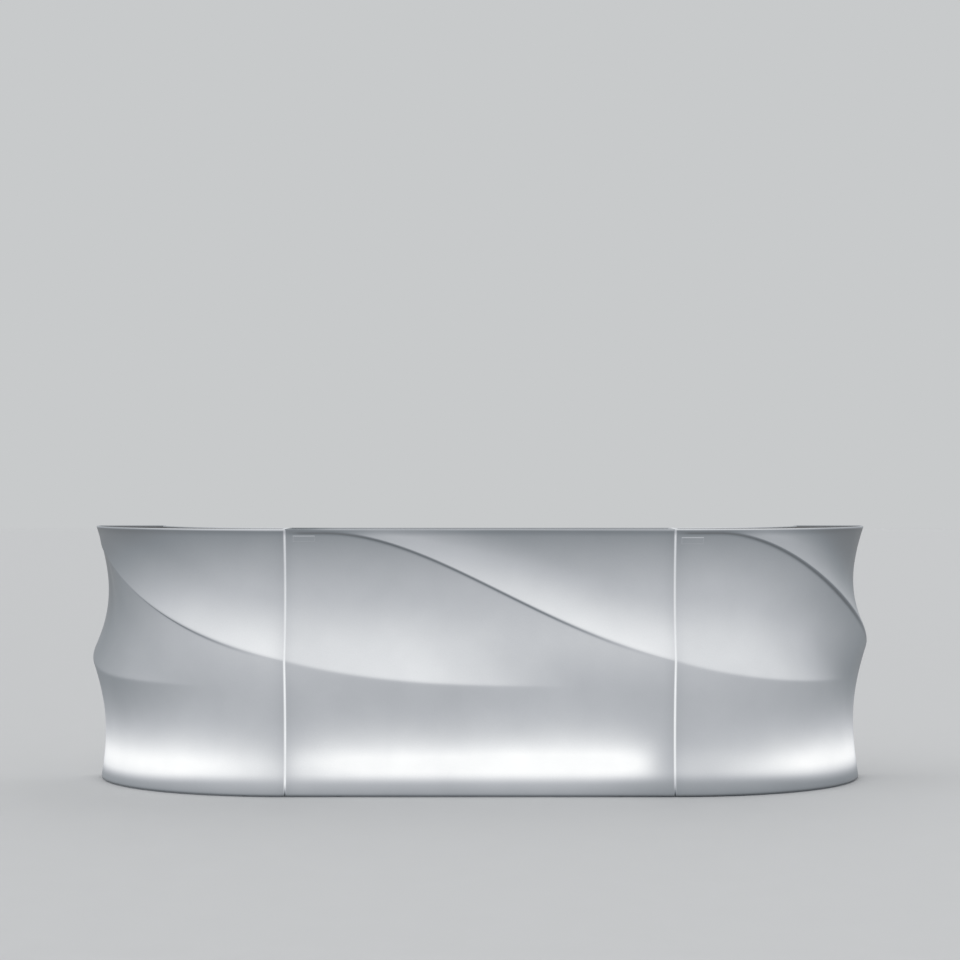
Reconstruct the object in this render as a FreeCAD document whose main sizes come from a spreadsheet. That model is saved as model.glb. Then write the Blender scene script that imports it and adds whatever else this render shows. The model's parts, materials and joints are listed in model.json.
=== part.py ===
import FreeCAD, Part
import math
import os
import re
import Sketcher

# Illuminated bar counter of three moulded modules: a quarter-round corner, a straight centre and a second
# corner. Z is up, the customers' side faces -Y, and the origin is on the floor under the middle.
# Every module is built around its own arc line: a radius is the distance from that line towards the
# customers, so the straight centre is the same section drawn out along X.

DIMENSIONS = {
    # Whole counter
    "counter_height": 1100,
    "module_width": 1600,
    "corner_reach": 900,
    "ledge_depth": 300,
    "floor_gap": 5,
    "seam_gap": 3,
    "wall": 6,
    "end_bevel": 6,
    "overrun": 5,
    # Wave front
    "top_setback": 15,
    "base_setback": 38,
    "crease_edge_height": 561,
    "crease_tail_height": 447,
    "crease_top_drop": 10,
    "lip_height": 14,
    "lip_depth": 12,
    # Top rim and plate
    "rim_width": 10,
    "rim_height": 4,
    "top_plate_thickness": 8,
    "top_plate_clearance": 0.5,
    # Levelling feet and their moulded-in inserts
    "foot_end_inset": 220,
    "foot_end_angle": 12,
    "foot_front_inset": 62,
    "foot_rear_inset": 55,
    "foot_cup_radius": 28,
    "foot_cup_depth": 16,
    "foot_pad_radius": 23,
    "foot_pad_edge": 7,
    "foot_cone_height": 4,
    "foot_collar_radius": 10,
    "foot_stem_radius": 5,
    "foot_stem_length": 42,
    "insert_flange_radius": 18,
    "insert_flange": 3,
    "insert_radius": 9,
    "insert_length": 36,
    "foot_running_clearance": 0.05,
    "foot_stop_clearance": 0.3,
    # Lamps
    "lamp_setback": 150,
    "lamp_height": 150,
    "tube_radius": 13,
    "tube_clearance": 30,
    "center_lamp_inset": 75,
    "corner_lamp_gap": 88,
    "corner_lamp_angle": 15,
    "lampholder_length": 18,
    "lampholder_width": 30,
    "batten_width": 46,
    "batten_height": 30,
    "batten_sheet": 1.5,
    "lamp_stand_length": 40,
    "lamp_stand_width": 36,
    "lamp_stand_sheet": 2,
    "lamp_stand_end_inset": 60,
    # Rear service hatch
    "hatch_bottom": 80,
    "hatch_height": 170,
    "hatch_length": 1200,
    "hatch_angle": 56,
    "hatch_lap": 24,
    "hatch_sheet": 4,
    "hatch_seat_clearance": 0.2,
    "screw_head_radius": 4,
    "screw_head": 2.5,
    "screw_radius": 2,
    "screw_length": 12,
    "screw_clearance": 0.2,
    # Power inlet with its rocker switch
    "inlet_offset": 690,
    "inlet_angle": 82,
    "inlet_height": 330,
    "inlet_flange_length": 64,
    "inlet_flange_height": 34,
    "inlet_flange": 3,
    "inlet_body_length": 54,
    "inlet_body_height": 28,
    "inlet_body_depth": 24,
    "inlet_clearance": 0.3,
    "socket_offset": 12,
    "socket_length": 24,
    "socket_height": 16,
    "socket_depth": 16,
    "socket_pin_length": 12,
    "socket_pin_width": 2,
    "socket_pin_height": 4,
    "socket_pin_pitch": 7,
    "rocker_offset": 15,
    "rocker_width": 12,
    "rocker_half_height": 9,
    "rocker_tip": 4.5,
    "rocker_middle": 2.5,
    "rocker_back": 3,
    "rocker_back_half": 5,
    "rocker_tilt": 10,
    "rocker_side_clearance": 0.4,
    "rocker_end_clearance": 1.2,
    "rocker_pin_radius": 1.5,
    "rocker_pin_length": 2,
    "rocker_pin_clearance": 0.05,
    # Bartender's worktop on its brackets
    "worktop_height": 880,
    "worktop_depth": 300,
    "worktop_fold": 30,
    "worktop_sheet": 2,
    "worktop_wall_clearance": 0.5,
    "bracket_depth": 250,
    "bracket_leg": 200,
    "bracket_width": 40,
    "bracket_sheet": 3,
    "bracket_nose": 25,
    "bracket_end_inset": 160,
    "bracket_end_angle": 18,
    "bracket_seat_clearance": 1,
    "bracket_bolt_low": 40,
    "bracket_bolt_high": 150,
    # Joining plates over the seams
    "join_plate_length": 100,
    "join_plate_height": 50,
    "join_plate_sheet": 5,
    "join_bolt_inset": 30,
    "join_low": 420,
    "join_high_drop": 115,
    "join_seat_clearance": 1,
    # Bolts and the rivet nuts in the rear walls
    "bolt_head_radius": 7,
    "bolt_head": 4,
    "bolt_radius": 4,
    "bolt_length": 25,
    "bolt_hole_clearance": 0.5,
    "nut_bore_clearance": 0.05,
    "nut_radius": 6,
    "nut_length": 22,
    "nut_collar_radius": 9,
    "nut_collar": 2.5,
}

# Each module: where its arc line stands, how far it is turned, where the main crease leaves the rim as a
# share of the module, and how sharply the crease falls from there.
MODULES = {
    "left": {"x": "-module_width / 2", "turn": "-90", "start_share": 0.08, "fall": 1.5},
    "center": {"x": "0", "turn": "0", "start_share": 0.10, "fall": 1.9},
    "right": {"x": "module_width / 2", "turn": "0", "start_share": 0.13, "fall": 1.9},
}
CORNER_SWEEP = "90"
WAVE_STATIONS = 17

# Shape of the wave section: where a crease swells and fades along the module, and how far the Bezier
# handles reach, as shares of the stretch that they shape.
crease_swell_share = 0.18
crease_reach_share = 0.80
tail_fade_shares = (0.30, 0.78)
lip_swell_shares = (0.02, 0.16)
lip_fade_shares = (0.55, 0.95)
base_handle_shares = (0.048, 0.35)
under_handle_shares = (0.139, 0.43)
over_handle_shares = (0.165, 0.36)
top_handle_shares = (0.123, 0.38)

# Lengths that follow from the driving dimensions
REAR = "(corner_reach - top_setback - ledge_depth)"
ARC_Y = "corner_reach / 2"
RECESS = "(top_plate_thickness + rim_height)"
CUP_TOP = "(floor_gap + foot_cup_depth)"
FOOT_TOP = "(floor_gap + foot_cup_depth - insert_flange - foot_stop_clearance)"
LAMP_RADIUS = "(corner_reach - lamp_setback)"
BATTEN_TOP = "(lamp_height - tube_radius - tube_clearance)"
BATTEN_FLOOR = "(lamp_height - tube_radius - tube_clearance - batten_height)"
CAVITY_FLOOR = "(floor_gap + wall)"
BRACKET_FOOT = "(worktop_height - worktop_sheet - bracket_leg)"

doc = FreeCAD.newDocument("bar_counter")
sheet = doc.addObject("Spreadsheet::Sheet", "sheet")
for row, (alias, number) in enumerate(DIMENSIONS.items(), start=1):
    sheet.set(f"A{row}", alias)
    sheet.set(f"B{row}", str(number))
    sheet.setAlias(f"B{row}", alias)
doc.recompute()
ALIAS_WORD = re.compile(r"\b(" + "|".join(sorted(DIMENSIONS, key=len, reverse=True)) + r")\b")
size = {alias: float(sheet.get(alias)) for alias in DIMENSIONS}
nodes = {}


def bind(item, target, formula):
    """Tie one property of an object to a formula over the sheet's names."""
    item.setExpression(target, ALIAS_WORD.sub(r"sheet.\g<0>", formula))


def locate(item, place):
    for axis, formula in zip("xyz", place):
        bind(item, f"Placement.Base.{axis}", formula)
    return item


def box(name, lengths, corner):
    item = doc.addObject("Part::Box", name)
    for target, formula in zip(("Length", "Width", "Height"), lengths):
        bind(item, target, formula)
    return locate(item, corner)


AXIS_TURNS = {
    "x": FreeCAD.Rotation(FreeCAD.Vector(0, 1, 0), 90),
    "y": FreeCAD.Rotation(FreeCAD.Vector(1, 0, 0), -90),
    "z": FreeCAD.Rotation(),
}


def cylinder(name, radius, height, foot, axis="z"):
    item = doc.addObject("Part::Cylinder", name)
    bind(item, "Radius", radius)
    bind(item, "Height", height)
    item.Placement = FreeCAD.Placement(FreeCAD.Vector(), AXIS_TURNS[axis])
    return locate(item, foot)


def cut(name, base, tool):
    item = doc.addObject("Part::Cut", name)
    item.Base = base
    item.Tool = tool
    return item


def fuse(name, items):
    item = doc.addObject("Part::MultiFuse", name)
    item.Shapes = items
    return item


def common(name, items):
    item = doc.addObject("Part::MultiCommon", name)
    item.Shapes = items
    return item


def group(name, items):
    item = doc.addObject("Part::Compound", name)
    item.Links = items
    return item


def keep(name, item):
    """Name a finished sub-part, which is then written as a node."""
    item.Label = name
    nodes[name] = item
    return item


def is_corner(module):
    return module != "center"


def put(item, module, along, radius="0", height="0", world=True):
    """Stand an item on a module: along is X on the centre and an angle on a corner."""
    if not is_corner(module):
        arc_y = ARC_Y if world else "0"
        return locate(item, (along, f"{arc_y} - {radius}", height))
    base_x = MODULES[module]["x"] if world else "0"
    arc_y = ARC_Y if world else "0"
    turn = f"({along}) + ({MODULES[module]['turn']})" if world else f"({along})"
    bind(item, "Placement.Rotation.Angle", turn)
    return locate(item, (f"{base_x} + {radius} * sin({turn})", f"{arc_y} - {radius} * cos({turn})", height))


def copy_of(name, item, module, along, radius="0", height="0", world=True):
    return put(group(name, [item]), module, along, radius, height, world)


def module_ends(module):
    """The start and finish of a module, as places along it."""
    if is_corner(module):
        return ("0", CORNER_SWEEP)
    return ("-module_width / 2", "module_width / 2")


def mirrored_places(module, inset, angle):
    """Two places, the same distance in from the start and the finish."""
    start, finish = module_ends(module)
    step = angle if is_corner(module) else inset
    return (f"{start} + {step}", f"{finish} - {step}")


def ring(name, module, outer, inner, end_gap, bottom, height):
    """A plate or block between two radii, over the whole module less a gap at each end."""
    if not is_corner(module):
        lengths = (f"module_width - 2 * {end_gap}", f"{outer} - {inner}", height)
        return box(name, lengths, (f"{end_gap} - module_width / 2", f"-{outer}", bottom))
    disc = cylinder(name + "_disc", outer, height, ("0", "0", bottom))
    quarter = box(name + "_quarter", (outer, outer, height), (end_gap, f"-{outer} - {end_gap}", bottom))
    core = cylinder(name + "_core", inner, f"{height} + 2 * overrun", ("0", "0", f"{bottom} - overrun"))
    return cut(name, common(name + "_sector", [disc, quarter]), core)


def origin_plane(body, role):
    return next(plane for plane in body.Origin.OriginFeatures if plane.Role == role)


def number_of(formula):
    return worked_out(ALIAS_WORD.sub(lambda word: repr(size[word.group(0)]), formula))


def worked_out(text):
    """Work a formula out on the sheet itself, for the first place of a sketch point."""
    scratch.set("A1", "=" + text)
    doc.recompute([scratch])
    return float(scratch.get("A1"))


scratch = doc.addObject("Spreadsheet::Sheet", "scratch")


def outline(body, name, role, corners):
    """A closed sketch of straight lines whose corners are tied to formulas of the sheet."""
    sketch = body.newObject("Sketcher::SketchObject", name)
    sketch.AttachmentSupport = [(origin_plane(body, role), "")]
    sketch.MapMode = "FlatFace"
    points = [FreeCAD.Vector(number_of(across), number_of(up), 0) for across, up in corners]
    for index, point in enumerate(points):
        sketch.addGeometry(Part.LineSegment(point, points[(index + 1) % len(points)]), False)
    for index in range(len(points)):
        sketch.addConstraint(Sketcher.Constraint("Coincident", index, 2, (index + 1) % len(points), 1))
    for index, (point, corner) in enumerate(zip(points, corners)):
        pin(sketch, "DistanceX", index, point.x, corner[0], -2)
        pin(sketch, "DistanceY", index, point.y, corner[1], -1)
    return sketch


def pin(sketch, kind, index, value, formula, axis):
    """Hold a sketch point on an axis, or at its distance from the origin."""
    if formula == "0":
        sketch.addConstraint(Sketcher.Constraint("PointOnObject", index, 1, axis))
    elif value > 0:
        number = sketch.addConstraint(Sketcher.Constraint(kind, -1, 1, index, 1, value))
        bind(sketch, f"Constraints[{number}]", formula)
    else:
        number = sketch.addConstraint(Sketcher.Constraint(kind, index, 1, -1, 1, -value))
        bind(sketch, f"Constraints[{number}]", f"-({formula})")


def turned(name, corners):
    """A body of revolution around Z from its half outline of radii and heights."""
    body = doc.addObject("PartDesign::Body", name)
    sketch = outline(body, name + "_outline", "XZ_Plane", corners)
    feature = body.newObject("PartDesign::Revolution", name + "_revolution")
    feature.Profile = sketch
    feature.ReferenceAxis = (sketch, ["V_Axis"])
    return body


def add_pad(body, name, corners, width):
    """A pad across X, to both sides alike, from an outline of outward and upward places."""
    sketch = outline(body, name + "_outline", "YZ_Plane", corners)
    pad = body.newObject("PartDesign::Pad", name + "_pad")
    pad.Profile = sketch
    pad.Midplane = True
    bind(pad, "Length", width)


def lying(name, item):
    """Lay a piece that was turned around Z so that its far end points into the rear wall."""
    laid = group(name, [item])
    laid.Placement = FreeCAD.Placement(FreeCAD.Vector(), FreeCAD.Rotation(FreeCAD.Vector(1, 0, 0), 90))
    return laid


# Wave front: at each station along the module the section is a chain of four Bezier curves, from the base
# to the tail of the last crease, up to the lip, over the main crease and on to the top rim.


def ease(start, finish, place):
    share = min(1, max(0, (place - start) / (finish - start)))
    return share * share * (3 - 2 * share)


def blend(first, second, share):
    return [a + (b - a) * share for a, b in zip(first, second)]


def split(poles, share):
    """Cut one cubic Bezier in two, by halving its pole lines at the share."""
    ab, bc, cd = (blend(poles[i], poles[i + 1], share) for i in range(3))
    abc = blend(ab, bc, share)
    bcd = blend(bc, cd, share)
    middle = blend(abc, bcd, share)
    return [poles[0], ab, abc, middle], [middle, bcd, cd, poles[3]]


def split_at_height(poles, height):
    low, high = 0.0, 1.0
    for _ in range(40):
        share = (low + high) / 2
        if split(poles, share)[0][3][1] < height:
            low = share
        else:
            high = share
    return split(poles, (low + high) / 2)


def scoop(foot, head, foot_shares, head_shares):
    """A hollow curve between two points, each (depth, height), drawn in by its handles."""
    rise = head[1] - foot[1]
    lower = [foot[0] - foot_shares[0] * rise, foot[1] + foot_shares[1] * rise]
    upper = [head[0] - head_shares[0] * rise, head[1] - head_shares[1] * rise]
    return [foot, lower, upper, head]


def crease_height(place, start_share, fall):
    """Height of the falling crease: flat at the rim, then down to its tail past the module's end."""
    top = size["counter_height"] - size["crease_top_drop"]
    drop = top - size["crease_tail_height"]
    edge_share = (size["crease_edge_height"] - size["crease_tail_height"]) / drop
    reach = (1 - start_share) / (-math.log(edge_share)) ** (1 / fall)
    travel = max(0, place - start_share) / reach
    return size["crease_tail_height"] + drop * math.exp(-travel ** fall)


def wave_section(module, place):
    """The four Bezier curves at a share of the module, as poles of (depth from the crest plane, height)."""
    start = MODULES[module]["start_share"]
    standard = MODULES["center"]
    base = [-size["base_setback"], size["floor_gap"]]
    top = [-size["top_setback"], size["counter_height"]]
    main = [-size["top_setback"] * (1 - ease(0, crease_reach_share, place)),
            crease_height(place, start, MODULES[module]["fall"])]
    tail = [0, crease_height(place + 1, standard["start_share"], standard["fall"])]
    swell = ease(start, start + crease_swell_share, place)
    fade = 1 - ease(*tail_fade_shares, place)
    low = scoop(base, tail, base_handle_shares, under_handle_shares)
    middle = scoop(tail, main, over_handle_shares, under_handle_shares)
    high = scoop(main, top, over_handle_shares, top_handle_shares)
    if swell < 1:
        plain = split_at_height(scoop(tail, top, over_handle_shares, top_handle_shares), main[1])
        middle, high = blend_poles(plain, (middle, high), swell)
    if fade < 1:
        plain = split_at_height(scoop(base, main, base_handle_shares, under_handle_shares), tail[1])
        low, middle = blend_poles(plain, (low, middle), fade)
    middle, lip = split_at_height(middle, middle[3][1] - size["lip_height"])
    lip_start = start + lip_swell_shares[0], start + lip_swell_shares[1]
    push = size["lip_depth"] * ease(*lip_start, place) * (1 - ease(*lip_fade_shares, place))
    middle[2:] = [[depth - push, height] for depth, height in middle[2:]]
    lip[:2] = [[depth - push, height] for depth, height in lip[:2]]
    return [low, middle, lip, high]


def blend_poles(plain, creased, share):
    return [[blend(a, b, share) for a, b in zip(curve, other)] for curve, other in zip(plain, creased)]


def point_on(module, place, radius, height):
    if not is_corner(module):
        return FreeCAD.Vector((place - 0.5) * size["module_width"], -radius, height)
    angle = math.radians(float(CORNER_SWEEP) * place)
    return FreeCAD.Vector(radius * math.sin(angle), -radius * math.cos(angle), height)


def wave_wire(module, place, inset, closing_radius):
    """The section moved back by an inset and closed at another radius, past the floor and the top."""
    curves = wave_section(module, place)
    reach = size["corner_reach"] - inset
    low, high = curves[0][0], curves[-1][3]
    bottom, top = low[1] - size["overrun"], high[1] + size["overrun"]

    def spot(depth, height):
        return point_on(module, place, reach + depth, height)

    edges = [Part.makeLine(spot(low[0], bottom), spot(*low))]
    for poles in curves:
        curve = Part.BezierCurve()
        curve.setPoles([spot(*pole) for pole in poles])
        edges.append(curve.toShape())
    corners = [spot(*high), spot(high[0], top), point_on(module, place, closing_radius, top),
               point_on(module, place, closing_radius, bottom), spot(low[0], bottom)]
    edges += [Part.makeLine(a, b) for a, b in zip(corners, corners[1:])]
    return Part.Wire(edges)


def module_run(module):
    """Length of a module along its crest."""
    if is_corner(module):
        return math.radians(float(CORNER_SWEEP)) * size["corner_reach"]
    return size["module_width"]


def wave_block(name, module, inset):
    """The wave front drawn out over the whole module, with room to spare behind."""
    behind = size["corner_reach"] - size["top_setback"] - size["ledge_depth"] - size["overrun"]
    places = [index / (WAVE_STATIONS - 1) for index in range(WAVE_STATIONS)]
    item = doc.addObject("Part::Feature", name)
    item.Shape = Part.makeLoft([wave_wire(module, place, inset, behind) for place in places], True, False)
    return item


def bevel_tool(name, module, at_finish):
    """What the bevel takes off the front edge at one end of a module."""
    ahead = size["corner_reach"] + 3 * size["overrun"]
    side = -1 if at_finish else 1
    edge = size["seam_gap"] / 2
    steps = (edge - size["overrun"], edge + size["end_bevel"] + size["overrun"])
    insets = (size["end_bevel"] + size["overrun"], -size["overrun"])
    wires = []
    for step, inset in zip(steps, insets):
        place = (1 if at_finish else 0) + side * step / module_run(module)
        wires.append(wave_wire(module, place, inset, ahead))
    item = doc.addObject("Part::Feature", name)
    item.Shape = Part.makeLoft(wires, True, True)
    return item


# Places that several pieces share


def foot_spots(module):
    """Front and rear foot at each end: name, place along the module, radius."""
    radii = {"front": "(corner_reach - base_setback - foot_front_inset)",
             "rear": f"({REAR} + foot_rear_inset)"}
    sides = {"left": ("end", "seam"), "center": ("left", "right"), "right": ("seam", "end")}[module]
    spots = []
    for side, along in zip(sides, mirrored_places(module, "foot_end_inset", "foot_end_angle")):
        spots += [(f"{depth}_{side}", along, radius) for depth, radius in radii.items()]
    return spots


def bracket_places(module):
    outer = mirrored_places(module, "bracket_end_inset", "bracket_end_angle")
    return outer if is_corner(module) else (outer[0], "0", outer[1])


def lamp_places(module):
    if is_corner(module):
        return [f"{count} * corner_lamp_angle" for count in (1, 3, 5)]
    return ["0"]


def tube_length(module):
    if is_corner(module):
        return f"(2 * {LAMP_RADIUS} * sin(corner_lamp_angle) - corner_lamp_gap)"
    return "(module_width - 2 * center_lamp_inset)"


def inlet_place(module):
    return "inlet_angle" if is_corner(module) else "inlet_offset"


def hatch_screw_places(module):
    """Columns of screws along the hatch cover, from one end to the other."""
    if is_corner(module):
        half = f"(hatch_angle / 2 + {HATCH_LAP_ANGLE} / 2)"
        return [f"{CORNER_SWEEP} / 2 + {share} * {half}" for share in (-1, 0, 1)]
    return [f"{share} * (hatch_length / 2 + hatch_lap / 2)" for share in (-1, "-1 / 3", "1 / 3", 1)]


HATCH_LAP_ANGLE = f"(hatch_lap / {REAR} * 180 / pi)"
HATCH_ROWS = ("hatch_bottom - hatch_lap / 2", "hatch_bottom + hatch_height + hatch_lap / 2")
JOIN_ROWS = {"low": "join_low", "high": "(counter_height - join_high_drop)"}
BRACKET_ROWS = (f"{BRACKET_FOOT} + bracket_bolt_low", f"{BRACKET_FOOT} + bracket_bolt_high")


# Cutting tools, each around its own place on the rear wall


def wall_hole(name, radius):
    """A hole square through the rear wall."""
    return cylinder(name, radius, "wall + 2 * overrun", ("0", "-wall - overrun", "0"), "y")


def join_tool(name):
    """Flat seat for a joining plate across a seam, with a nut hole on each side."""
    length = "join_plate_length + 2 * join_seat_clearance"
    height = "join_plate_height + 2 * join_seat_clearance"
    seat = box(name + "_seat", (length, "2 * overrun", height), (f"-({length}) / 2", "0", f"-({height}) / 2"))
    holes = []
    for side, sign in (("left", "-"), ("right", "")):
        hole = wall_hole(f"{name}_{side}", "nut_radius")
        bind(hole, "Placement.Base.x", f"{sign}join_bolt_inset")
        holes.append(hole)
    return fuse(name, [seat] + holes)


def bracket_tool(name):
    """Flat seat for a bracket's leg with its two nut holes, from the foot of the leg."""
    width = "bracket_width + 2 * bracket_seat_clearance"
    height = "bracket_leg + 2 * bracket_seat_clearance"
    corner = (f"-({width}) / 2", "0", "-bracket_seat_clearance")
    parts = [box(name + "_seat", (width, "2 * overrun", height), corner)]
    for row in ("bracket_bolt_low", "bracket_bolt_high"):
        hole = wall_hole(f"{name}_{row}", "nut_radius")
        bind(hole, "Placement.Base.z", row)
        parts.append(hole)
    return fuse(name, parts)


def inlet_tool(name):
    """Flat seat for the inlet's flange and the window that its body passes."""
    flange_length = "inlet_flange_length + 2 * inlet_clearance"
    flange_height = "inlet_flange_height + 2 * inlet_clearance"
    length = "inlet_body_length + 2 * inlet_clearance"
    height = "inlet_body_height + 2 * inlet_clearance"
    seat = box(name + "_seat", (flange_length, "2 * overrun", flange_height),
               (f"-({flange_length}) / 2", "0", f"-({flange_height}) / 2"))
    window = box(name + "_window", (length, "wall + 2 * overrun", height),
                 (f"-({length}) / 2", "-wall - overrun", f"-({height}) / 2"))
    return fuse(name, [seat, window])


def arc_plate(name, outer, inner, sweep, bottom, height):
    """A curved plate between two radii, centred half-way round a corner."""
    bodies = []
    for part, radius in (("outer", outer), ("inner", inner)):
        disc = cylinder(f"{name}_{part}", radius, height, ("0", "0", bottom))
        bind(disc, "Angle", sweep)
        bind(disc, "Placement.Rotation.Angle", f"({CORNER_SWEEP} - {sweep}) / 2 - 90")
        bodies.append(disc)
    return cut(name, *bodies)


def hatch_opening(module):
    name = f"{module}_hatch_opening"
    if is_corner(module):
        return arc_plate(name, f"{REAR} + wall + overrun", f"{REAR} - overrun", "hatch_angle",
                         "hatch_bottom", "hatch_height")
    return box(name, ("hatch_length", "wall + 2 * overrun", "hatch_height"),
               ("-hatch_length / 2", f"-{REAR} - wall - overrun", "hatch_bottom"))


# Moulded body


def foot_cup_tool(name):
    cup = cylinder(name + "_cup", "foot_cup_radius", "foot_cup_depth + overrun",
                   ("0", "0", "floor_gap - overrun"))
    bore = cylinder(name + "_bore", "insert_radius", "wall + 2 * overrun",
                    ("0", "0", f"{CUP_TOP} - overrun"))
    return fuse(name, [cup, bore])


def moulded_body(module):
    """Hollow moulding: wave front, flat ends and rear, foot cups, top recess and rear openings."""
    name = f"{module}_body"
    block = ring(f"{name}_block", module, "(corner_reach + overrun)", REAR, "seam_gap / 2", "floor_gap",
                 "counter_height - floor_gap")
    outside = common(f"{name}_outside", [wave_block(f"{name}_front", module, 0), block])
    room = ring(f"{name}_room", module, "(corner_reach + overrun)", f"({REAR} + wall)",
                "(seam_gap / 2 + wall)", CAVITY_FLOOR, f"counter_height - {RECESS} - wall - {CAVITY_FLOOR}")
    inside = common(f"{name}_inside", [wave_block(f"{name}_back_of_front", module, size["wall"]), room])
    bosses = []
    cups = []
    for spot, along, radius in foot_spots(module):
        boss = cylinder(f"{name}_boss_{spot}", "foot_cup_radius + wall", "foot_cup_depth + wall",
                        ("0", "0", "floor_gap"))
        bosses.append(put(group(f"{name}_boss_at_{spot}", [boss]), module, along, radius, "0", False))
        cup = foot_cup_tool(f"{name}_cup_{spot}")
        cups.append(put(cup, module, along, radius, "0", False))
    cavity = cut(f"{name}_cavity", inside, group(f"{name}_bosses", bosses))
    hollow = cut(f"{name}_hollow", outside, cavity)
    cupped = cut(f"{name}_cupped", hollow, group(f"{name}_cups", cups))
    recess = ring(f"{name}_recess", module, "(corner_reach - top_setback - rim_width)",
                  f"({REAR} + rim_width)", "(seam_gap / 2 + rim_width)", f"counter_height - {RECESS}",
                  f"{RECESS} + overrun")
    bevels = [bevel_tool(f"{name}_bevel_{end}", module, end == "finish") for end in ("start", "finish")]
    dished = cut(f"{name}_dished", cupped, group(f"{name}_top_cuts", [recess] + bevels))
    return keep(name, put(cut(name, dished, rear_cuts(module)), module, "0"))


def rear_cuts(module):
    """All that opens or flattens a module's rear wall."""
    name = f"{module}_rear_cut"
    cuts = [hatch_opening(module)]
    cuts.append(put(inlet_tool(f"{name}_inlet"), module, inlet_place(module), REAR, "inlet_height", False))
    for end, along in enumerate(module_ends(module)):
        for row, height in JOIN_ROWS.items():
            cuts.append(put(join_tool(f"{name}_join_{end}_{row}"), module, along, REAR, height, False))
    for count, along in enumerate(bracket_places(module)):
        cuts.append(put(bracket_tool(f"{name}_bracket_{count}"), module, along, REAR, BRACKET_FOOT, False))
    for column, along in enumerate(hatch_screw_places(module)):
        for row, height in enumerate(HATCH_ROWS):
            hole = wall_hole(f"{name}_screw_{column}_{row}", "screw_radius + screw_clearance")
            cuts.append(copy_of(f"{name}_screw_at_{column}_{row}", hole, module, along, REAR, height, False))
    return group(name, cuts)


# Plates on and behind the body


def top_plate(module):
    gap = "(seam_gap / 2 + rim_width + top_plate_clearance)"
    plate = ring(f"{module}_top_plate", module,
                 "(corner_reach - top_setback - rim_width - top_plate_clearance)",
                 f"({REAR} + rim_width + top_plate_clearance)", gap,
                 f"counter_height - {RECESS}", "top_plate_thickness")
    return keep(f"{module}_top_plate", put(group(f"{module}_top_plate_seat", [plate]), module, "0"))


def worktop(module):
    """Folded sheet tray, open below, that the brackets carry from inside its folds."""
    outer = f"({REAR} - worktop_wall_clearance)"
    inner = f"({REAR} - worktop_depth)"
    name = f"{module}_worktop"
    block = ring(f"{name}_block", module, outer, inner, "(seam_gap / 2)", "worktop_height - worktop_fold",
                 "worktop_fold")
    room = ring(f"{name}_room", module, f"({outer} - worktop_sheet)", f"({inner} + worktop_sheet)",
                "(seam_gap / 2 + worktop_sheet)", "worktop_height - worktop_fold - overrun",
                "worktop_fold - worktop_sheet + overrun")
    passages = []
    for count, along in enumerate(bracket_places(module)):
        width = "bracket_width + 2 * bracket_seat_clearance"
        notch = box(f"{name}_notch_{count}", (width, "2 * overrun", "worktop_fold - worktop_sheet"),
                    (f"-({width}) / 2", "-overrun", "-worktop_fold"))
        passages.append(copy_of(f"{name}_notch_at_{count}", notch, module, along, REAR, "worktop_height",
                                False))
    return keep(name, put(cut(name, block, fuse(f"{name}_under", [room] + passages)), module, "0"))


def hatch_cover(module):
    name = f"{module}_hatch_cover"
    bottom = "hatch_bottom - hatch_lap"
    height = "hatch_height + 2 * hatch_lap"
    seat = f"({REAR} - hatch_seat_clearance)"
    if is_corner(module):
        plate = arc_plate(name, seat, f"({seat} - hatch_sheet)", f"(hatch_angle + 2 * {HATCH_LAP_ANGLE})",
                          bottom, height)
    else:
        length = "hatch_length + 2 * hatch_lap"
        plate = box(name, (length, "hatch_sheet", height), (f"-({length}) / 2", f"-{seat}", bottom))
    holes = []
    for column, along in enumerate(hatch_screw_places(module)):
        for row, place in enumerate(HATCH_ROWS):
            hole = cylinder(f"{name}_hole_{column}_{row}", "screw_radius + screw_clearance",
                            "hatch_sheet + 2 * overrun", ("0", "-overrun", "0"), "y")
            holes.append(copy_of(f"{name}_hole_at_{column}_{row}", hole, module, along, REAR, place, False))
    drilled = cut(f"{name}_drilled", plate, group(f"{name}_holes", holes))
    return keep(name, put(drilled, module, "0"))


# Lamps inside the body


def lamps(module):
    length = tube_length(module)
    batten_length = f"({length} + 2 * lampholder_length)"
    pieces = {"lamp_tubes": [], "lampholders": [], "lamp_battens": [], "lamp_stands": []}
    for count, along in enumerate(lamp_places(module)):
        name = f"{module}_lamp_{count}"
        tube = cylinder(f"{name}_tube", "tube_radius", length, (f"-{length} / 2", "0", "0"), "x")
        tube_at = copy_of(f"{name}_tube_at", tube, module, along, LAMP_RADIUS, "lamp_height")
        pieces["lamp_tubes"].append(tube_at)
        holders = group(f"{name}_holders", [lampholder(name, side, length) for side in (-1, 1)])
        pieces["lampholders"].append(put(holders, module, along, LAMP_RADIUS, BATTEN_TOP))
        batten = lamp_batten(name, batten_length)
        pieces["lamp_battens"].append(put(batten, module, along, LAMP_RADIUS, BATTEN_FLOOR))
        stands = group(f"{name}_stands", [lamp_stand(name, side, batten_length) for side in (-1, 1)])
        pieces["lamp_stands"].append(put(stands, module, along, LAMP_RADIUS, CAVITY_FLOOR))
    for kind, items in pieces.items():
        keep(f"{module}_{kind}", group(f"{module}_{kind}", items))


def lamp_batten(name, length):
    """Sheet channel, open below, that carries the lampholders."""
    block = box(f"{name}_batten_block", (length, "batten_width", "batten_height"),
                (f"-{length} / 2", "-batten_width / 2", "0"))
    room = box(f"{name}_batten_room", (f"{length} + 2 * overrun", "batten_width - 2 * batten_sheet",
                                       "batten_height - batten_sheet + overrun"),
               (f"-{length} / 2 - overrun", "batten_sheet - batten_width / 2", "-overrun"))
    return cut(f"{name}_batten", block, room)


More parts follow.
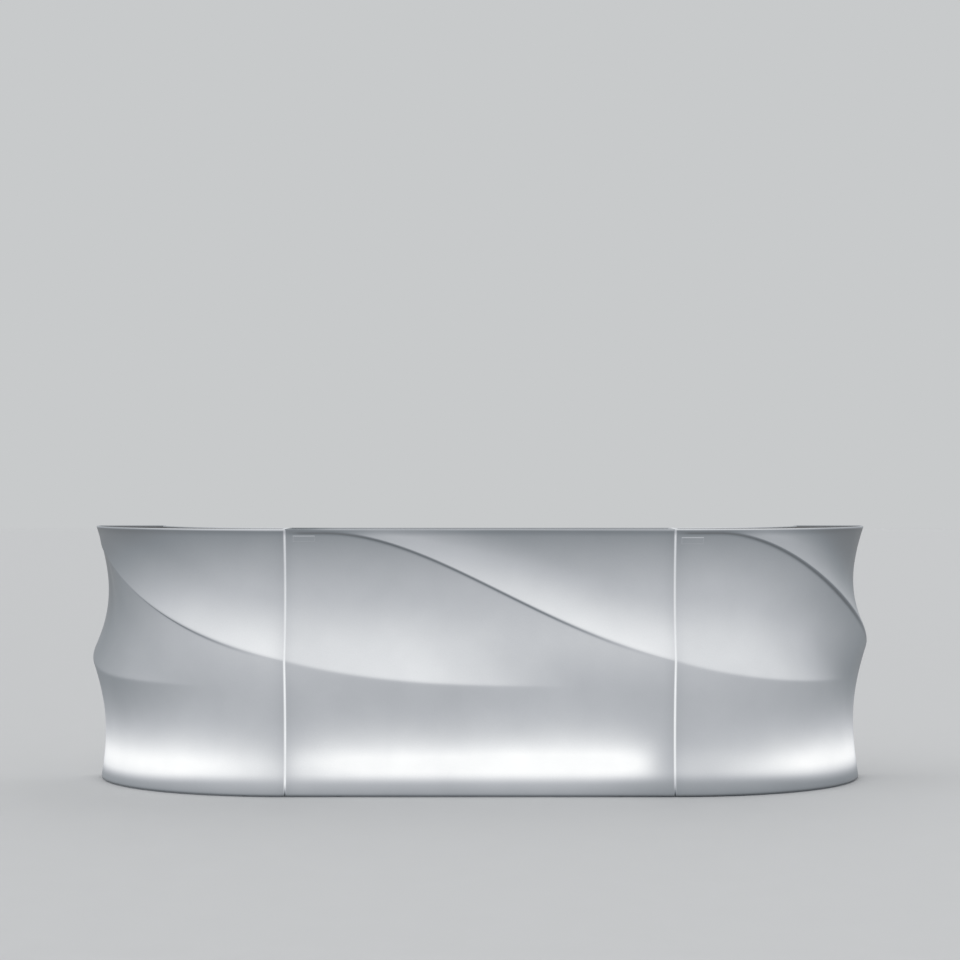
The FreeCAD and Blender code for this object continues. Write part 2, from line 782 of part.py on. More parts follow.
def lampholder(name, side, length):
    """Upright holder at one end of a tube, with a round head around the tube's axis."""
    start = f"{length} / 2" if side > 0 else f"-{length} / 2 - lampholder_length"
    axis_height = f"(lamp_height - {BATTEN_TOP})"
    post = box(f"{name}_post_{side}", ("lampholder_length", "lampholder_width", axis_height),
               (start, "-lampholder_width / 2", "0"))
    head = cylinder(f"{name}_head_{side}", "lampholder_width / 2", "lampholder_length",
                    (start, "0", axis_height), "x")
    return fuse(f"{name}_holder_{side}", [post, head])


def lamp_stand(name, side, batten_length):
    """Short piece of rectangular tube between the cavity's floor and the batten's top sheet."""
    height = f"({BATTEN_TOP} - batten_sheet - {CAVITY_FLOOR})"
    middle = f"({batten_length} / 2 - lamp_stand_end_inset)"
    start = f"{'-' if side < 0 else ''}{middle} - lamp_stand_length / 2"
    block = box(f"{name}_stand_block_{side}", ("lamp_stand_length", "lamp_stand_width", height),
                (start, "-lamp_stand_width / 2", "0"))
    room = box(f"{name}_stand_room_{side}",
               ("lamp_stand_length + 2 * overrun", "lamp_stand_width - 2 * lamp_stand_sheet",
                f"{height} - 2 * lamp_stand_sheet"),
               (f"{start} - overrun", "lamp_stand_sheet - lamp_stand_width / 2", "lamp_stand_sheet"))
    return cut(f"{name}_stand_{side}", block, room)


# Levelling feet


def foot_shape():
    """Pad, cone and stem in one turning, with a hexagon collar for the spanner."""
    cone_top = "foot_pad_edge + foot_cone_height"
    corners = [("0", "0"), ("foot_pad_radius", "0"), ("foot_pad_radius", "foot_pad_edge"),
               ("foot_stem_radius", cone_top), ("foot_stem_radius", f"{FOOT_TOP} + foot_stem_length"),
               ("0", f"{FOOT_TOP} + foot_stem_length")]
    turning = turned("foot_turning", corners)
    collar = doc.addObject("Part::Prism", "foot_collar")
    collar.Polygon = 6
    bind(collar, "Circumradius", "foot_collar_radius")
    bind(collar, "Height", f"{FOOT_TOP} - foot_pad_edge")
    locate(collar, ("0", "0", "foot_pad_edge"))
    return fuse("foot_shape", [turning, collar])


def insert_shape():
    """Flanged threaded sleeve that is moulded into the foot cup's ceiling."""
    bore = "foot_stem_radius + foot_running_clearance"
    low, step = f"{CUP_TOP} - insert_flange", CUP_TOP
    high = f"{CUP_TOP} + insert_length"
    return turned("insert_shape", [(bore, low), ("insert_flange_radius", low), ("insert_flange_radius", step),
                                   ("insert_radius", step), ("insert_radius", high), (bore, high)])


def feet():
    foot = foot_shape()
    insert = insert_shape()
    inserts = []
    for module in MODULES:
        for spot, along, radius in foot_spots(module):
            name = f"{module}_foot_{spot}"
            keep(name, copy_of(name, foot, module, along, radius))
            inserts.append(copy_of(f"{name}_insert", insert, module, along, radius))
    keep("foot_inserts", group("foot_inserts", inserts))


# Fasteners: each is turned with its head on the outside and then laid into the wall


def headed_pin(name, head_radius, head, radius, length):
    corners = [("0", "0"), (head_radius, "0"), (head_radius, head), (radius, head),
               (radius, f"{head} + {length}"), ("0", f"{head} + {length}")]
    return lying(name + "_lying", turned(name, corners))


def rivet_nut():
    """Threaded sleeve with the collar that closes behind the wall."""
    bore = "bolt_radius + nut_bore_clearance"
    collar_end = "wall + nut_collar"
    return lying("rivet_nut_lying", turned("rivet_nut", [
        (bore, "0"), ("nut_radius", "0"), ("nut_radius", "wall"), ("nut_collar_radius", "wall"),
        ("nut_collar_radius", collar_end), ("nut_radius", collar_end), ("nut_radius", "nut_length"),
        (bore, "nut_length")]))


def offset_pair(name, item, offsets):
    """Copies of a fastener beside each other along the wall."""
    return group(name, [locate(group(f"{name}_{count}", [item]), (offset, "0", "0"))
                        for count, offset in enumerate(offsets)])


def fasteners():
    bolt = headed_pin("bolt", "bolt_head_radius", "bolt_head", "bolt_radius", "bolt_length")
    screw = headed_pin("screw", "screw_head_radius", "screw_head", "screw_radius", "screw_length")
    nut = rivet_nut()
    pair = ("-join_bolt_inset", "join_bolt_inset")
    nut_pair = offset_pair("nut_pair", nut, pair)
    bolt_pair = offset_pair("bolt_pair", bolt, pair)
    start_nut = offset_pair("start_nut", nut, pair[1:])
    finish_nut = offset_pair("finish_nut", nut, pair[:1])
    plate = join_plate()
    plates, join_bolts, nuts, bracket_bolts, screws = [], [], [], [], []
    seam_bolt_seat = f"({REAR} - join_plate_sheet - bolt_head)"
    for row, height in JOIN_ROWS.items():
        for end, seam in enumerate(module_ends("center")):
            plates.append(copy_of(f"join_plate_{end}_{row}", plate, "center", seam, REAR, height))
            join_bolts.append(copy_of(f"join_bolt_{end}_{row}", bolt_pair, "center", seam, seam_bolt_seat,
                                      height))
            nuts.append(copy_of(f"join_nut_{end}_{row}", nut_pair, "center", seam, REAR, height))
        nuts.append(copy_of(f"left_end_nut_{row}", start_nut, "left", "0", REAR, height))
        nuts.append(copy_of(f"right_end_nut_{row}", finish_nut, "right", CORNER_SWEEP, REAR, height))
    bracket_bolt_seat = f"({REAR} - bracket_sheet - bolt_head)"
    screw_seat = f"({REAR} - hatch_seat_clearance - hatch_sheet - screw_head)"
    for module in MODULES:
        for count, along in enumerate(bracket_places(module)):
            for row, height in enumerate(BRACKET_ROWS):
                tag = f"{module}_{count}_{row}"
                bracket_bolts.append(copy_of(f"bracket_bolt_{tag}", bolt, module, along, bracket_bolt_seat,
                                             height))
                nuts.append(copy_of(f"bracket_nut_{tag}", nut, module, along, REAR, height))
        for column, along in enumerate(hatch_screw_places(module)):
            for row, height in enumerate(HATCH_ROWS):
                tag = f"hatch_screw_{module}_{column}_{row}"
                screws.append(copy_of(tag, screw, module, along, screw_seat, height))
    groups = {"joining_plates": plates, "joining_bolts": join_bolts, "rivet_nuts": nuts,
              "bracket_bolts": bracket_bolts, "hatch_screws": screws}
    for name, items in groups.items():
        keep(name, group(name, items))


def join_plate():
    """Flat steel plate over a seam, with a clearance hole for each module's bolt."""
    blank = box("join_plate_blank", ("join_plate_length", "join_plate_sheet", "join_plate_height"),
                ("-join_plate_length / 2", "0", "-join_plate_height / 2"))
    holes = [cylinder(f"join_plate_hole_{side}", "bolt_radius + bolt_hole_clearance",
                      "join_plate_sheet + 2 * overrun", (place, "-overrun", "0"), "y")
             for side, place in (("left", "-join_bolt_inset"), ("right", "join_bolt_inset"))]
    return cut("join_plate", blank, group("join_plate_holes", holes))


# Worktop brackets


def bracket_shape():
    """Folded bracket: a leg on the wall and a leg under the worktop between two side webs."""
    body = doc.addObject("PartDesign::Body", "bracket_folded")
    web = [("0", "0"), ("bracket_nose", "0"), ("bracket_depth", "bracket_leg - bracket_nose"),
           ("bracket_depth", "bracket_leg"), ("0", "bracket_leg")]
    add_pad(body, "bracket_web", web, "bracket_width")
    width = "(bracket_width - 2 * bracket_sheet)"
    room = box("bracket_room", (width, "bracket_depth", "bracket_leg - bracket_sheet + overrun"),
               (f"-{width} / 2", "bracket_sheet", "-overrun"))
    return cut("bracket_shape", body, room)


def brackets():
    shape = bracket_shape()
    holes = [cylinder(f"bracket_hole_{row}", "bolt_radius + bolt_hole_clearance",
                      "bracket_sheet + 2 * overrun", ("0", "-overrun", row), "y")
             for row in ("bracket_bolt_low", "bracket_bolt_high")]
    drilled = cut("bracket_drilled", shape, group("bracket_holes", holes))
    for module in MODULES:
        name = f"{module}_worktop_brackets"
        items = [copy_of(f"{name}_{count}", drilled, module, along, REAR, BRACKET_FOOT)
                 for count, along in enumerate(bracket_places(module))]
        keep(name, group(name, items))


# Power inlet and rocker switch


def inlet_shape():
    """Flanged housing with a three-pin inlet and the well and pin holes of the rocker."""
    flange = box("inlet_flange_plate", ("inlet_flange_length", "inlet_flange", "inlet_flange_height"),
                 ("-inlet_flange_length / 2", "0", "-inlet_flange_height / 2"))
    inner = box("inlet_inner", ("inlet_body_length", "inlet_body_depth", "inlet_body_height"),
                ("-inlet_body_length / 2", "-inlet_body_depth", "-inlet_body_height / 2"))
    socket = box("inlet_socket", ("socket_length", "socket_depth + overrun", "socket_height"),
                 ("socket_offset - socket_length / 2", "inlet_flange - socket_depth", "-socket_height / 2"))
    well_width = "(rocker_width + 2 * rocker_side_clearance)"
    well_half = "(rocker_half_height + rocker_end_clearance)"
    well_depth = "(rocker_tip + rocker_back)"
    well = box("inlet_well", (well_width, f"inlet_flange + {well_depth} + overrun", f"2 * {well_half}"),
               (f"-rocker_offset - {well_width} / 2", f"-{well_depth}", f"-{well_half}"))
    pivot_length = "(rocker_width + 2 * rocker_pin_length + 2 * rocker_side_clearance)"
    pivots = cylinder("inlet_pivots", "rocker_pin_radius + rocker_pin_clearance", pivot_length,
                      (f"-rocker_offset - {pivot_length} / 2", "0", "0"), "x")
    rooms = fuse("inlet_rooms", [socket, well, pivots])
    hollow = cut("inlet_hollow", fuse("inlet_solid", [flange, inner]), rooms)
    pin = ("socket_pin_width", "socket_pin_length + overrun", "socket_pin_height")
    pins = [box(f"inlet_pin_{count}", pin,
                (f"socket_offset + {count} * socket_pin_pitch - socket_pin_width / 2",
                 "inlet_flange - socket_depth - overrun", "-socket_pin_height / 2")) for count in (-1, 0, 1)]
    return fuse("inlet_shape", [hollow] + pins)


def rocker_shape():
    """Rocker with a shallow V face and pins, resting with its upper end pressed."""
    body = doc.addObject("PartDesign::Body", "rocker_key")
    face = [("rocker_tip", "-rocker_half_height"), ("rocker_middle", "0"),
            ("rocker_tip", "rocker_half_height"), ("-rocker_back", "rocker_back_half"),
            ("-rocker_back", "-rocker_back_half")]
    add_pad(body, "rocker_face", face, "rocker_width")
    length = "(rocker_width + 2 * rocker_pin_length)"
    pins = cylinder("rocker_pins", "rocker_pin_radius", length, (f"-{length} / 2", "0", "0"), "x")
    tilted = group("rocker_tilted", [fuse("rocker_shape", [body, pins])])
    tilted.Placement = FreeCAD.Placement(FreeCAD.Vector(), FreeCAD.Rotation(FreeCAD.Vector(1, 0, 0), 1))
    bind(tilted, "Placement.Rotation.Angle", "rocker_tilt")
    locate(tilted, ("-rocker_offset", "0", "0"))
    return tilted


def inlets():
    housing = inlet_shape()
    rocker = rocker_shape()
    for module in MODULES:
        along = inlet_place(module)
        for name, shape in (("inlet_housing", housing), ("switch_rocker", rocker)):
            keep(f"{module}_{name}", copy_of(f"{module}_{name}", shape, module, along, REAR, "inlet_height"))


for module in MODULES:
    moulded_body(module)
    top_plate(module)
    worktop(module)
    hatch_cover(module)
    lamps(module)
feet()
brackets()
inlets()
fasteners()
doc.recompute()

faults = [item.Label for item in doc.Objects if "Invalid" in item.State or "Error" in item.State]
faults += [name for name, item in nodes.items() if item.Shape.isNull() or not item.Shape.isValid()]
if faults:
    raise SystemExit("not built: " + ", ".join(faults))
os.makedirs("parts", exist_ok=True)
for name, item in nodes.items():
    item.Shape.exportStep(f"parts/{name}.step")
    box_size = item.Shape.BoundBox
    print(f"{name}: {len(item.Shape.Solids)} solids, {item.Shape.Volume / 1000:.1f} cm3, "
          f"{box_size.XLength:.1f} x {box_size.YLength:.1f} x {box_size.ZLength:.1f} mm")
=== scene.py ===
import json
import math

import bmesh
import bpy
import numpy as np
from mathutils import Matrix, Vector


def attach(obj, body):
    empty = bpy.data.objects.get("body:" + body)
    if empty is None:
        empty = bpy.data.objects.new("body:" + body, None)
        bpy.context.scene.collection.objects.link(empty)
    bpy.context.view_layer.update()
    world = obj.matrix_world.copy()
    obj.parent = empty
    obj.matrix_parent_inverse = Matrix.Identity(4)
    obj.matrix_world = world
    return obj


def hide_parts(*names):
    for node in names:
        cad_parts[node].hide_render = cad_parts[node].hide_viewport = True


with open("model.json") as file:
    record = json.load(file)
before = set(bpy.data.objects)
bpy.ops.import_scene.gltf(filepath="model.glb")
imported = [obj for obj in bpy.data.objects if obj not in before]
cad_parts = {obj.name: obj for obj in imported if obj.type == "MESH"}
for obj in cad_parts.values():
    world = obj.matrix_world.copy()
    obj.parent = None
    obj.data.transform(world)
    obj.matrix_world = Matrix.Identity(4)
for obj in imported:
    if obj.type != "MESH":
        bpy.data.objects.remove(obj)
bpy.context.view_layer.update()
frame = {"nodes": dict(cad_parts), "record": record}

# Sizes in metres, as in the construction
HEIGHT = 1.100
FLOOR_GAP = 0.005
MODULE_WIDTH = 1.600
REACH = 0.900
ARC_Y = 0.450
TOP_SETBACK = 0.015
BASE_SETBACK = 0.038
LEDGE = 0.300
REAR = REACH - TOP_SETBACK - LEDGE
HALF_GAP = 0.0015
RIM = 0.010
RECESS = 0.012
CREASE_EDGE = 0.561
CREASE_TAIL = 0.447
CREASE_TOP = HEIGHT - 0.010
LIP_HEIGHT = 0.014
LIP_DEPTH = 0.012

# Shares of a module's length over which the creases and the lip grow and fade
CREASE_REACH_SHARE = 0.80
CREASE_SWELL_SHARE = 0.18
TAIL_FADE_SHARES = (0.30, 0.78)
LIP_SWELL_SHARES = (0.02, 0.16)
LIP_FADE_SHARES = (0.55, 0.95)

# Handles of the hollow curves, as shares of a curve's rise
BASE_SHARES, UNDER_SHARES = (0.048, 0.35), (0.139, 0.43)
OVER_SHARES, TOP_SHARES = (0.165, 0.36), (0.123, 0.38)

# Each module: where its arc line stands, whether it is a corner and turned to the left, the share of its
# length at which the main crease leaves the rim, and how sharply the crease falls from there
MODULES = {
    "left": {"x": -MODULE_WIDTH / 2, "corner": True, "turned": True, "start": 0.08, "fall": 1.5},
    "center": {"x": 0.0, "corner": False, "turned": False, "start": 0.10, "fall": 1.9},
    "right": {"x": MODULE_WIDTH / 2, "corner": True, "turned": False, "start": 0.13, "fall": 1.9},
}
# Degrees that a corner turns through
QUARTER = 90


def ease(start, finish, value):
    share = np.clip((value - start) / (finish - start), 0, 1)
    return share * share * (3 - 2 * share)


# The wave front


# Halvings until a curve's share at a height is found
HALVINGS = 30


def blend(first, second, share):
    return [a + (b - a) * share for a, b in zip(first, second)]


def blend_poles(plain, creased, share):
    return [[blend(a, b, share) for a, b in zip(curve, other)] for curve, other in zip(plain, creased)]


def split(poles, share):
    """Cuts one cubic Bezier in two, by halving its pole lines at the share."""
    ab, bc, cd = (blend(poles[i], poles[i + 1], share) for i in range(3))
    abc, bcd = blend(ab, bc, share), blend(bc, cd, share)
    middle = blend(abc, bcd, share)
    return [poles[0], ab, abc, middle], [middle, bcd, cd, poles[3]]


def split_at_height(poles, height):
    low, high = 0.0, 1.0
    for _ in range(HALVINGS):
        share = (low + high) / 2
        if split(poles, share)[0][3][1] < height:
            low = share
        else:
            high = share
    return split(poles, (low + high) / 2)


def scoop(foot, head, foot_shares, head_shares):
    """A hollow curve between two points, each (depth, height), drawn in by its handles."""
    rise = head[1] - foot[1]
    lower = [foot[0] - foot_shares[0] * rise, foot[1] + foot_shares[1] * rise]
    upper = [head[0] - head_shares[0] * rise, head[1] - head_shares[1] * rise]
    return [foot, lower, upper, head]


def crease_height(place, start, fall):
    """Height of the falling crease: flat at the rim, then down to its tail past the module's end."""
    drop = CREASE_TOP - CREASE_TAIL
    reach = (1 - start) / (-math.log((CREASE_EDGE - CREASE_TAIL) / drop)) ** (1 / fall)
    return CREASE_TAIL + drop * math.exp(-(max(0, place - start) / reach) ** fall)


def main_crease(module, place):
    return crease_height(place, MODULES[module]["start"], MODULES[module]["fall"])


def tail_crease(place):
    """Height of the crease that comes in from the module before."""
    return crease_height(place + 1, MODULES["center"]["start"], MODULES["center"]["fall"])


def crease_swell(module, place):
    start = MODULES[module]["start"]
    return ease(start, start + CREASE_SWELL_SHARE, place)


def wave_section(module, place):
    """The four Bezier curves of the front at a share of the module, and how far its lip stands out."""
    start = MODULES[module]["start"]
    base = [-BASE_SETBACK, FLOOR_GAP]
    top = [-TOP_SETBACK, HEIGHT]
    main = [-TOP_SETBACK * (1 - ease(0, CREASE_REACH_SHARE, place)), main_crease(module, place)]
    tail = [0, tail_crease(place)]
    swell = crease_swell(module, place)
    fade = 1 - ease(*TAIL_FADE_SHARES, place)
    low = scoop(base, tail, BASE_SHARES, UNDER_SHARES)
    middle = scoop(tail, main, OVER_SHARES, UNDER_SHARES)
    high = scoop(main, top, OVER_SHARES, TOP_SHARES)
    if swell < 1:
        plain = split_at_height(scoop(tail, top, OVER_SHARES, TOP_SHARES), main[1])
        middle, high = blend_poles(plain, (middle, high), swell)
    if fade < 1:
        plain = split_at_height(scoop(base, main, BASE_SHARES, UNDER_SHARES), tail[1])
        low, middle = blend_poles(plain, (low, middle), fade)
    middle, lip = split_at_height(middle, middle[3][1] - LIP_HEIGHT)
    lip_share = ease(start + LIP_SWELL_SHARES[0], start + LIP_SWELL_SHARES[1], place)
    lip_share *= 1 - ease(*LIP_FADE_SHARES, place)
    push = LIP_DEPTH * lip_share
    middle[2:] = [[depth - push, height] for depth, height in middle[2:]]
    lip[:2] = [[depth - push, height] for depth, height in lip[:2]]
    return [low, middle, lip, high], lip_share


def bezier(poles, shares):
    a, b, c, d = (np.array(pole)[None, :] for pole in poles)
    t = shares[:, None]
    return a * (1 - t) ** 3 + 3 * b * t * (1 - t) ** 2 + 3 * c * t * t * (1 - t) + d * t ** 3


# Steps along each curve, and the heights at which a profile is worked out
CURVE_STEPS = 80
FINE_STEP = 0.001
FINE = np.arange(0, HEIGHT + FINE_STEP / 2, FINE_STEP)
# Rounding of the crests, of the lip and of the edges, as a moulding comes out of its tool
CREST_ROUND = 0.006
LIP_ROUND = 0.0022
LIP_SPREAD = 0.016
ROUND = 0.003
# How many widths of a rounding its curve is worked out over, to each side
ROUND_REACH = 4
# Rows of faces up the front: below the tail crease, up to the lip, over the lip, above the main crease
ROW_COUNTS = (46, 44, 10, 34)
LEAST_BAND = 0.002


def softened(depths, width):
    """The profile with its corners rounded over a width."""
    reach = int(ROUND_REACH * width / FINE_STEP)
    kernel = np.exp(-0.5 * (np.arange(-reach, reach + 1) * FINE_STEP / width) ** 2)
    padded = np.pad(depths, reach, mode="reflect", reflect_type="odd")
    return np.convolve(padded, kernel / kernel.sum(), mode="valid")


def front_rows(module, place):
    """Depths and heights of the front's rows at a share of the module, from the floor up."""
    curves, lip_share = wave_section(module, place)
    shares = np.linspace(0, 1, CURVE_STEPS)
    points = np.concatenate([bezier(poles, shares) for poles in curves])
    sharp = np.interp(FINE, points[:, 1], points[:, 0])
    lip_middle = curves[3][0][1] - LIP_HEIGHT / 2
    near_lip = np.exp(-0.5 * ((FINE - lip_middle) / LIP_SPREAD) ** 2) * lip_share
    depths = softened(sharp, CREST_ROUND) * (1 - near_lip) + softened(sharp, LIP_ROUND) * near_lip
    knots = [FLOOR_GAP + ROUND] + [curve[0][1] for curve in curves[1:]] + [HEIGHT - ROUND]
    for index in range(1, len(curves)):
        knots[index] = max(knots[index], knots[index - 1] + LEAST_BAND)
    for index in reversed(range(1, len(curves))):
        knots[index] = min(knots[index], knots[index + 1] - LEAST_BAND)
    heights = []
    for low, high, count in zip(knots, knots[1:], ROW_COUNTS):
        steps = np.arange(count) / count
        # Half even and half drawn to the creases at both ends
        eased = steps - np.sin(2 * math.pi * steps) / (4 * math.pi)
        heights.append(low + (high - low) * eased)
    heights = np.concatenate(heights + [np.array(knots[-1:])])
    return np.interp(heights, FINE, depths), heights


# The moulded bodies: sections along a module, each a closed loop of front, top, rear and floor


# Sections along a module, and those round each of its ends
STATIONS = 112
EDGE_STEPS = 5
END_ROUND = 0.006
# The rim's inner edge is rounded off, and its wall stands nearly upright on the recess
RIM_INNER = 0.0015
RIM_STEP = 0.0001
# Way from a rim to the first section beyond it
STATION_CLEAR = 0.006
EDGE_ROUND = 0.0009
# At a rounded end the front goes back so many times as far as the top goes down, over a band of rows
BACK_TO_DOWN = 3
TOP_BAND = 0.05
# Columns across a top or floor, and how far in from the edges those of an end wall start
INNER_COLUMNS = 7
END_INSET_SHARE = 0.02
# Edges sharper than this, in degrees, stay sharp
SHARP_ANGLE = 50
MERGE_DISTANCE = 0.000001


def on_module(module, share, radius):
    """Plan position at a share of a module and a radius from its arc line."""
    spec = MODULES[module]
    if not spec["corner"]:
        return np.full(np.shape(radius), spec["x"] + (share - 0.5) * MODULE_WIDTH), ARC_Y - radius
    angle = share * math.pi / 2
    along, out = radius * np.sin(angle), -radius * np.cos(angle)
    if spec["turned"]:
        along, out = out, -along
    return spec["x"] + along, ARC_Y + out


def places_on(module, share, radii, heights):
    x, y = on_module(module, share, radii)
    return np.stack([x, y, heights], axis=-1)


def stations(module):
    """Shares along a module, each with how far the front is drawn back and how deep the top is sunk."""
    run = REACH * math.pi / 2 if MODULES[module]["corner"] else MODULE_WIDTH
    turns = np.linspace(0, math.pi / 2, EDGE_STEPS)
    ends = [(END_ROUND * (1 - math.cos(turn)), END_ROUND * (1 - math.sin(turn)), 0.0) for turn in turns]
    ends += [(RIM - RIM_INNER, 0.0, 0.0), (RIM, 0.0, RIM_INNER), (RIM + RIM_STEP, 0.0, RECESS)]
    clear = HALF_GAP + RIM + STATION_CLEAR
    rows = [(HALF_GAP + along, inset, sunk) for along, inset, sunk in ends]
    rows += [(along, 0.0, RECESS) for along in np.linspace(clear, run - clear, STATIONS)]
    rows += [(run - HALF_GAP - along, inset, sunk) for along, inset, sunk in reversed(ends)]
    return [(along / run, inset, sunk) for along, inset, sunk in rows]


def across(first, last, edge, drops, inner_drop):
    """Radii and drops of the columns from the front edge to the rear edge of a top or floor."""
    ahead, behind = first - edge, last + edge[::-1]
    inner = ahead[-1] + (behind[0] - ahead[-1]) * np.linspace(0, 1, INNER_COLUMNS + 2)[1:-1]
    return (np.concatenate([ahead, inner, behind]),
            np.concatenate([drops, np.full(INNER_COLUMNS, inner_drop), drops[::-1]]))


def section(module, share, inset, sunk):
    """Radii and heights of the front, the top, the rear and the floor at a share of the module."""
    depths, heights = front_rows(module, share)
    front = REACH + depths - inset
    top_drop = inset / BACK_TO_DOWN
    edge = np.array([EDGE_ROUND, ROUND, RIM - RIM_INNER, RIM, RIM + RIM_STEP])
    rim_drops = np.array([EDGE_ROUND, 0, 0, min(sunk, RIM_INNER), sunk])
    floor_drops = np.array([EDGE_ROUND, 0, 0, 0, 0])
    top_r, top_d = across(front[-1], REAR, edge, rim_drops, sunk)
    low_r, low_d = across(front[0], REAR, edge, floor_drops, 0.0)
    # Where the top is rounded down at an end, the rows below it are drawn together
    wall_z = heights - top_drop * np.clip((heights - HEIGHT + TOP_BAND) / (TOP_BAND - ROUND), 0, 1)
    rear = np.full(len(heights), REAR)
    return (front, wall_z), (top_r, HEIGHT - top_d - top_drop), (rear, wall_z), (low_r, FLOOR_GAP + low_d)


def round_loop(module, share, cut):
    """Places of one section: front up, top back, rear down, floor forward, closed."""
    front, top, rear, low = (np.array(side) for side in cut)
    radii, heights = np.concatenate([front, top, rear[:, ::-1], low[:, ::-1], front[:, :1]], axis=1)
    return places_on(module, share, radii, heights)


def end_wall(module, share, cut):
    """Places of a module's end: rows from front to rear, between the floor's and the top's columns."""
    (front, wall_z), (top_r, top_z), (rear, _), (low_r, low_z) = cut
    inner = END_INSET_SHARE + (1 - 2 * END_INSET_SHARE) * (low_r[0] - low_r) / (low_r[0] - low_r[-1])
    shares = np.concatenate([[0], inner, [1]])
    rows = [places_on(module, share, radius + (REAR - radius) * shares, np.full(len(shares), height))
            for radius, height in zip(front, wall_z)]
    borders = []
    for row, radii, heights in ((0, low_r, low_z), (-1, top_r, top_z)):
        radii = np.concatenate([front[[row]], radii, rear[[row]]])
        heights = np.concatenate([wall_z[[row]], heights, wall_z[[row]]])
        borders.append(places_on(module, share, radii, heights))
    return np.array([borders[0]] + rows + [borders[1]])


def add_grid(work, places):
    """A grid of faces with its corners at the places given, by row and column."""
    rows, columns = places.shape[:2]
    made = bmesh.ops.create_grid(work, x_segments=columns - 1, y_segments=rows - 1, size=1)
    corners = sorted(made["verts"], key=lambda vert: (vert.co.y, vert.co.x))
    for vert, place in zip(corners, places.reshape(-1, 3)):
        vert.co = place


def shown(name, work):
    """Makes a shape an object of the scene."""
    mesh = bpy.data.meshes.new(name)
    work.to_mesh(mesh)
    work.free()
    item = bpy.data.objects.new(name, mesh)
    bpy.context.scene.collection.objects.link(item)
    return item


def closed_skin(module):
    """The whole body as one skin: a grid round its sections and a grid at each end."""
    spans = stations(module)
    cuts = [section(module, *span) for span in spans]
    work = bmesh.new()
    add_grid(work, np.array([round_loop(module, span[0], cut) for span, cut in zip(spans, cuts)]))
    for end in (0, -1):
        add_grid(work, end_wall(module, spans[end][0], cuts[end]))
    bmesh.ops.remove_doubles(work, verts=work.verts, dist=MERGE_DISTANCE)
    bmesh.ops.recalc_face_normals(work, faces=work.faces)
    return shown(f"{module}_shell", work)


# What opens the bodies: foot cups, inlets, the flats for the joining plates and the rivet nuts


# Places along a module: metres off the middle of the straight one, degrees from the start of a corner
FEET = {"center": (-0.58, 0.58), "left": (12, 78), "right": (12, 78)}
INLET = {"center": 0.690, "left": 82, "right": 82}
FOOT_RADII = (0.800, 0.640)
FOOT_CUP = {"radius": 0.028, "ceiling": 0.021, "segments": 48}
INSERT_BORE = {"radius": 0.0092, "ceiling": 0.080}
CUT_DEPTH = 0.010
ROD_SEGMENTS = 40
# Seats of the inlets and of the joining plates: heights, half widths with half heights, and depths
INLET_HEIGHT = 0.330
INLET_HALF = (0.0273, 0.0143)
INLET_DEPTH = 0.0245
JOIN_ROWS = (0.420, 0.985)
JOIN_HALF = (0.051, 0.026)
JOIN_ROOM = 0.020
NUT_OFFSET = 0.030
NUT_BORE = {"radius": 0.0092, "length": 0.050}


def share_of(module, along):
    return along / QUARTER if MODULES[module]["corner"] else along / MODULE_WIDTH + 0.5


def heading(module, along):
    """Matrix of a place on the rear wall: X along the wall, Y out of it."""
    x, y = on_module(module, share_of(module, along), REAR)
    turn = along - (QUARTER if MODULES[module]["turned"] else 0) if MODULES[module]["corner"] else 0
    return Matrix.Translation((float(x), float(y), 0)) @ Matrix.Rotation(math.radians(turn), 4, "Z")


def add_box(work, matrix, low, high):
    middle = [(a + b) / 2 for a, b in zip(low, high)]
    scale = Matrix.Diagonal((*(b - a for a, b in zip(low, high)), 1))
    bmesh.ops.create_cube(work, size=1, matrix=matrix @ Matrix.Translation(middle) @ scale)


def add_rod(work, matrix, radius, length, segments=ROD_SEGMENTS):
    bmesh.ops.create_cone(work, cap_ends=True, segments=segments, radius1=radius, radius2=radius,
                          depth=length, matrix=matrix)


def add_bore(work, place, radius, ceiling, segments=ROD_SEGMENTS):
    """An upright bore from below the floor to its ceiling."""
    length = ceiling + CUT_DEPTH
    add_rod(work, Matrix.Translation((*place, ceiling - length / 2)), radius, length, segments)


def cut_from(item, name, work):
    """Takes a cutter out of a piece and does away with the cutter."""
    cutter = shown(name, work)
    modifier = item.modifiers.new("opening", "BOOLEAN")
    modifier.operation = "DIFFERENCE"
    modifier.solver = "EXACT"
    modifier.object = cutter
    whole = item.evaluated_get(bpy.context.evaluated_depsgraph_get())
    item.data, plain = bpy.data.meshes.new_from_object(whole), item.data
    item.modifiers.clear()
    bpy.data.objects.remove(cutter)
    bpy.data.meshes.remove(plain)


def open_body(item, module):
    """Cuts the wide openings first and then the bores that go on from them."""
    wide, narrow = bmesh.new(), bmesh.new()
    for along in FEET[module]:
        for radius in FOOT_RADII:
            place = [float(value) for value in on_module(module, share_of(module, along), radius)]
            add_bore(wide, place, **FOOT_CUP)
            add_bore(narrow, place, **INSERT_BORE)
    half, tall = INLET_HALF
    add_box(wide, heading(module, INLET[module]), (-half, -INLET_DEPTH, INLET_HEIGHT - tall),
            (half, CUT_DEPTH, INLET_HEIGHT + tall))
    if MODULES[module]["corner"]:
        half, tall = JOIN_HALF
        for end, side in ((0, NUT_OFFSET), (QUARTER, -NUT_OFFSET)):
            seat = heading(module, end)
            for height in JOIN_ROWS:
                add_box(wide, seat, (-half, 0, height - tall), (half, JOIN_ROOM, height + tall))
                lying = Matrix.Translation((side, 0, height)) @ Matrix.Rotation(math.pi / 2, 4, "X")
                add_rod(narrow, seat @ lying, **NUT_BORE)
    cut_from(item, "wide_openings", wide)
    cut_from(item, "narrow_openings", narrow)


# Light from the lamps inside, as it comes through the skin


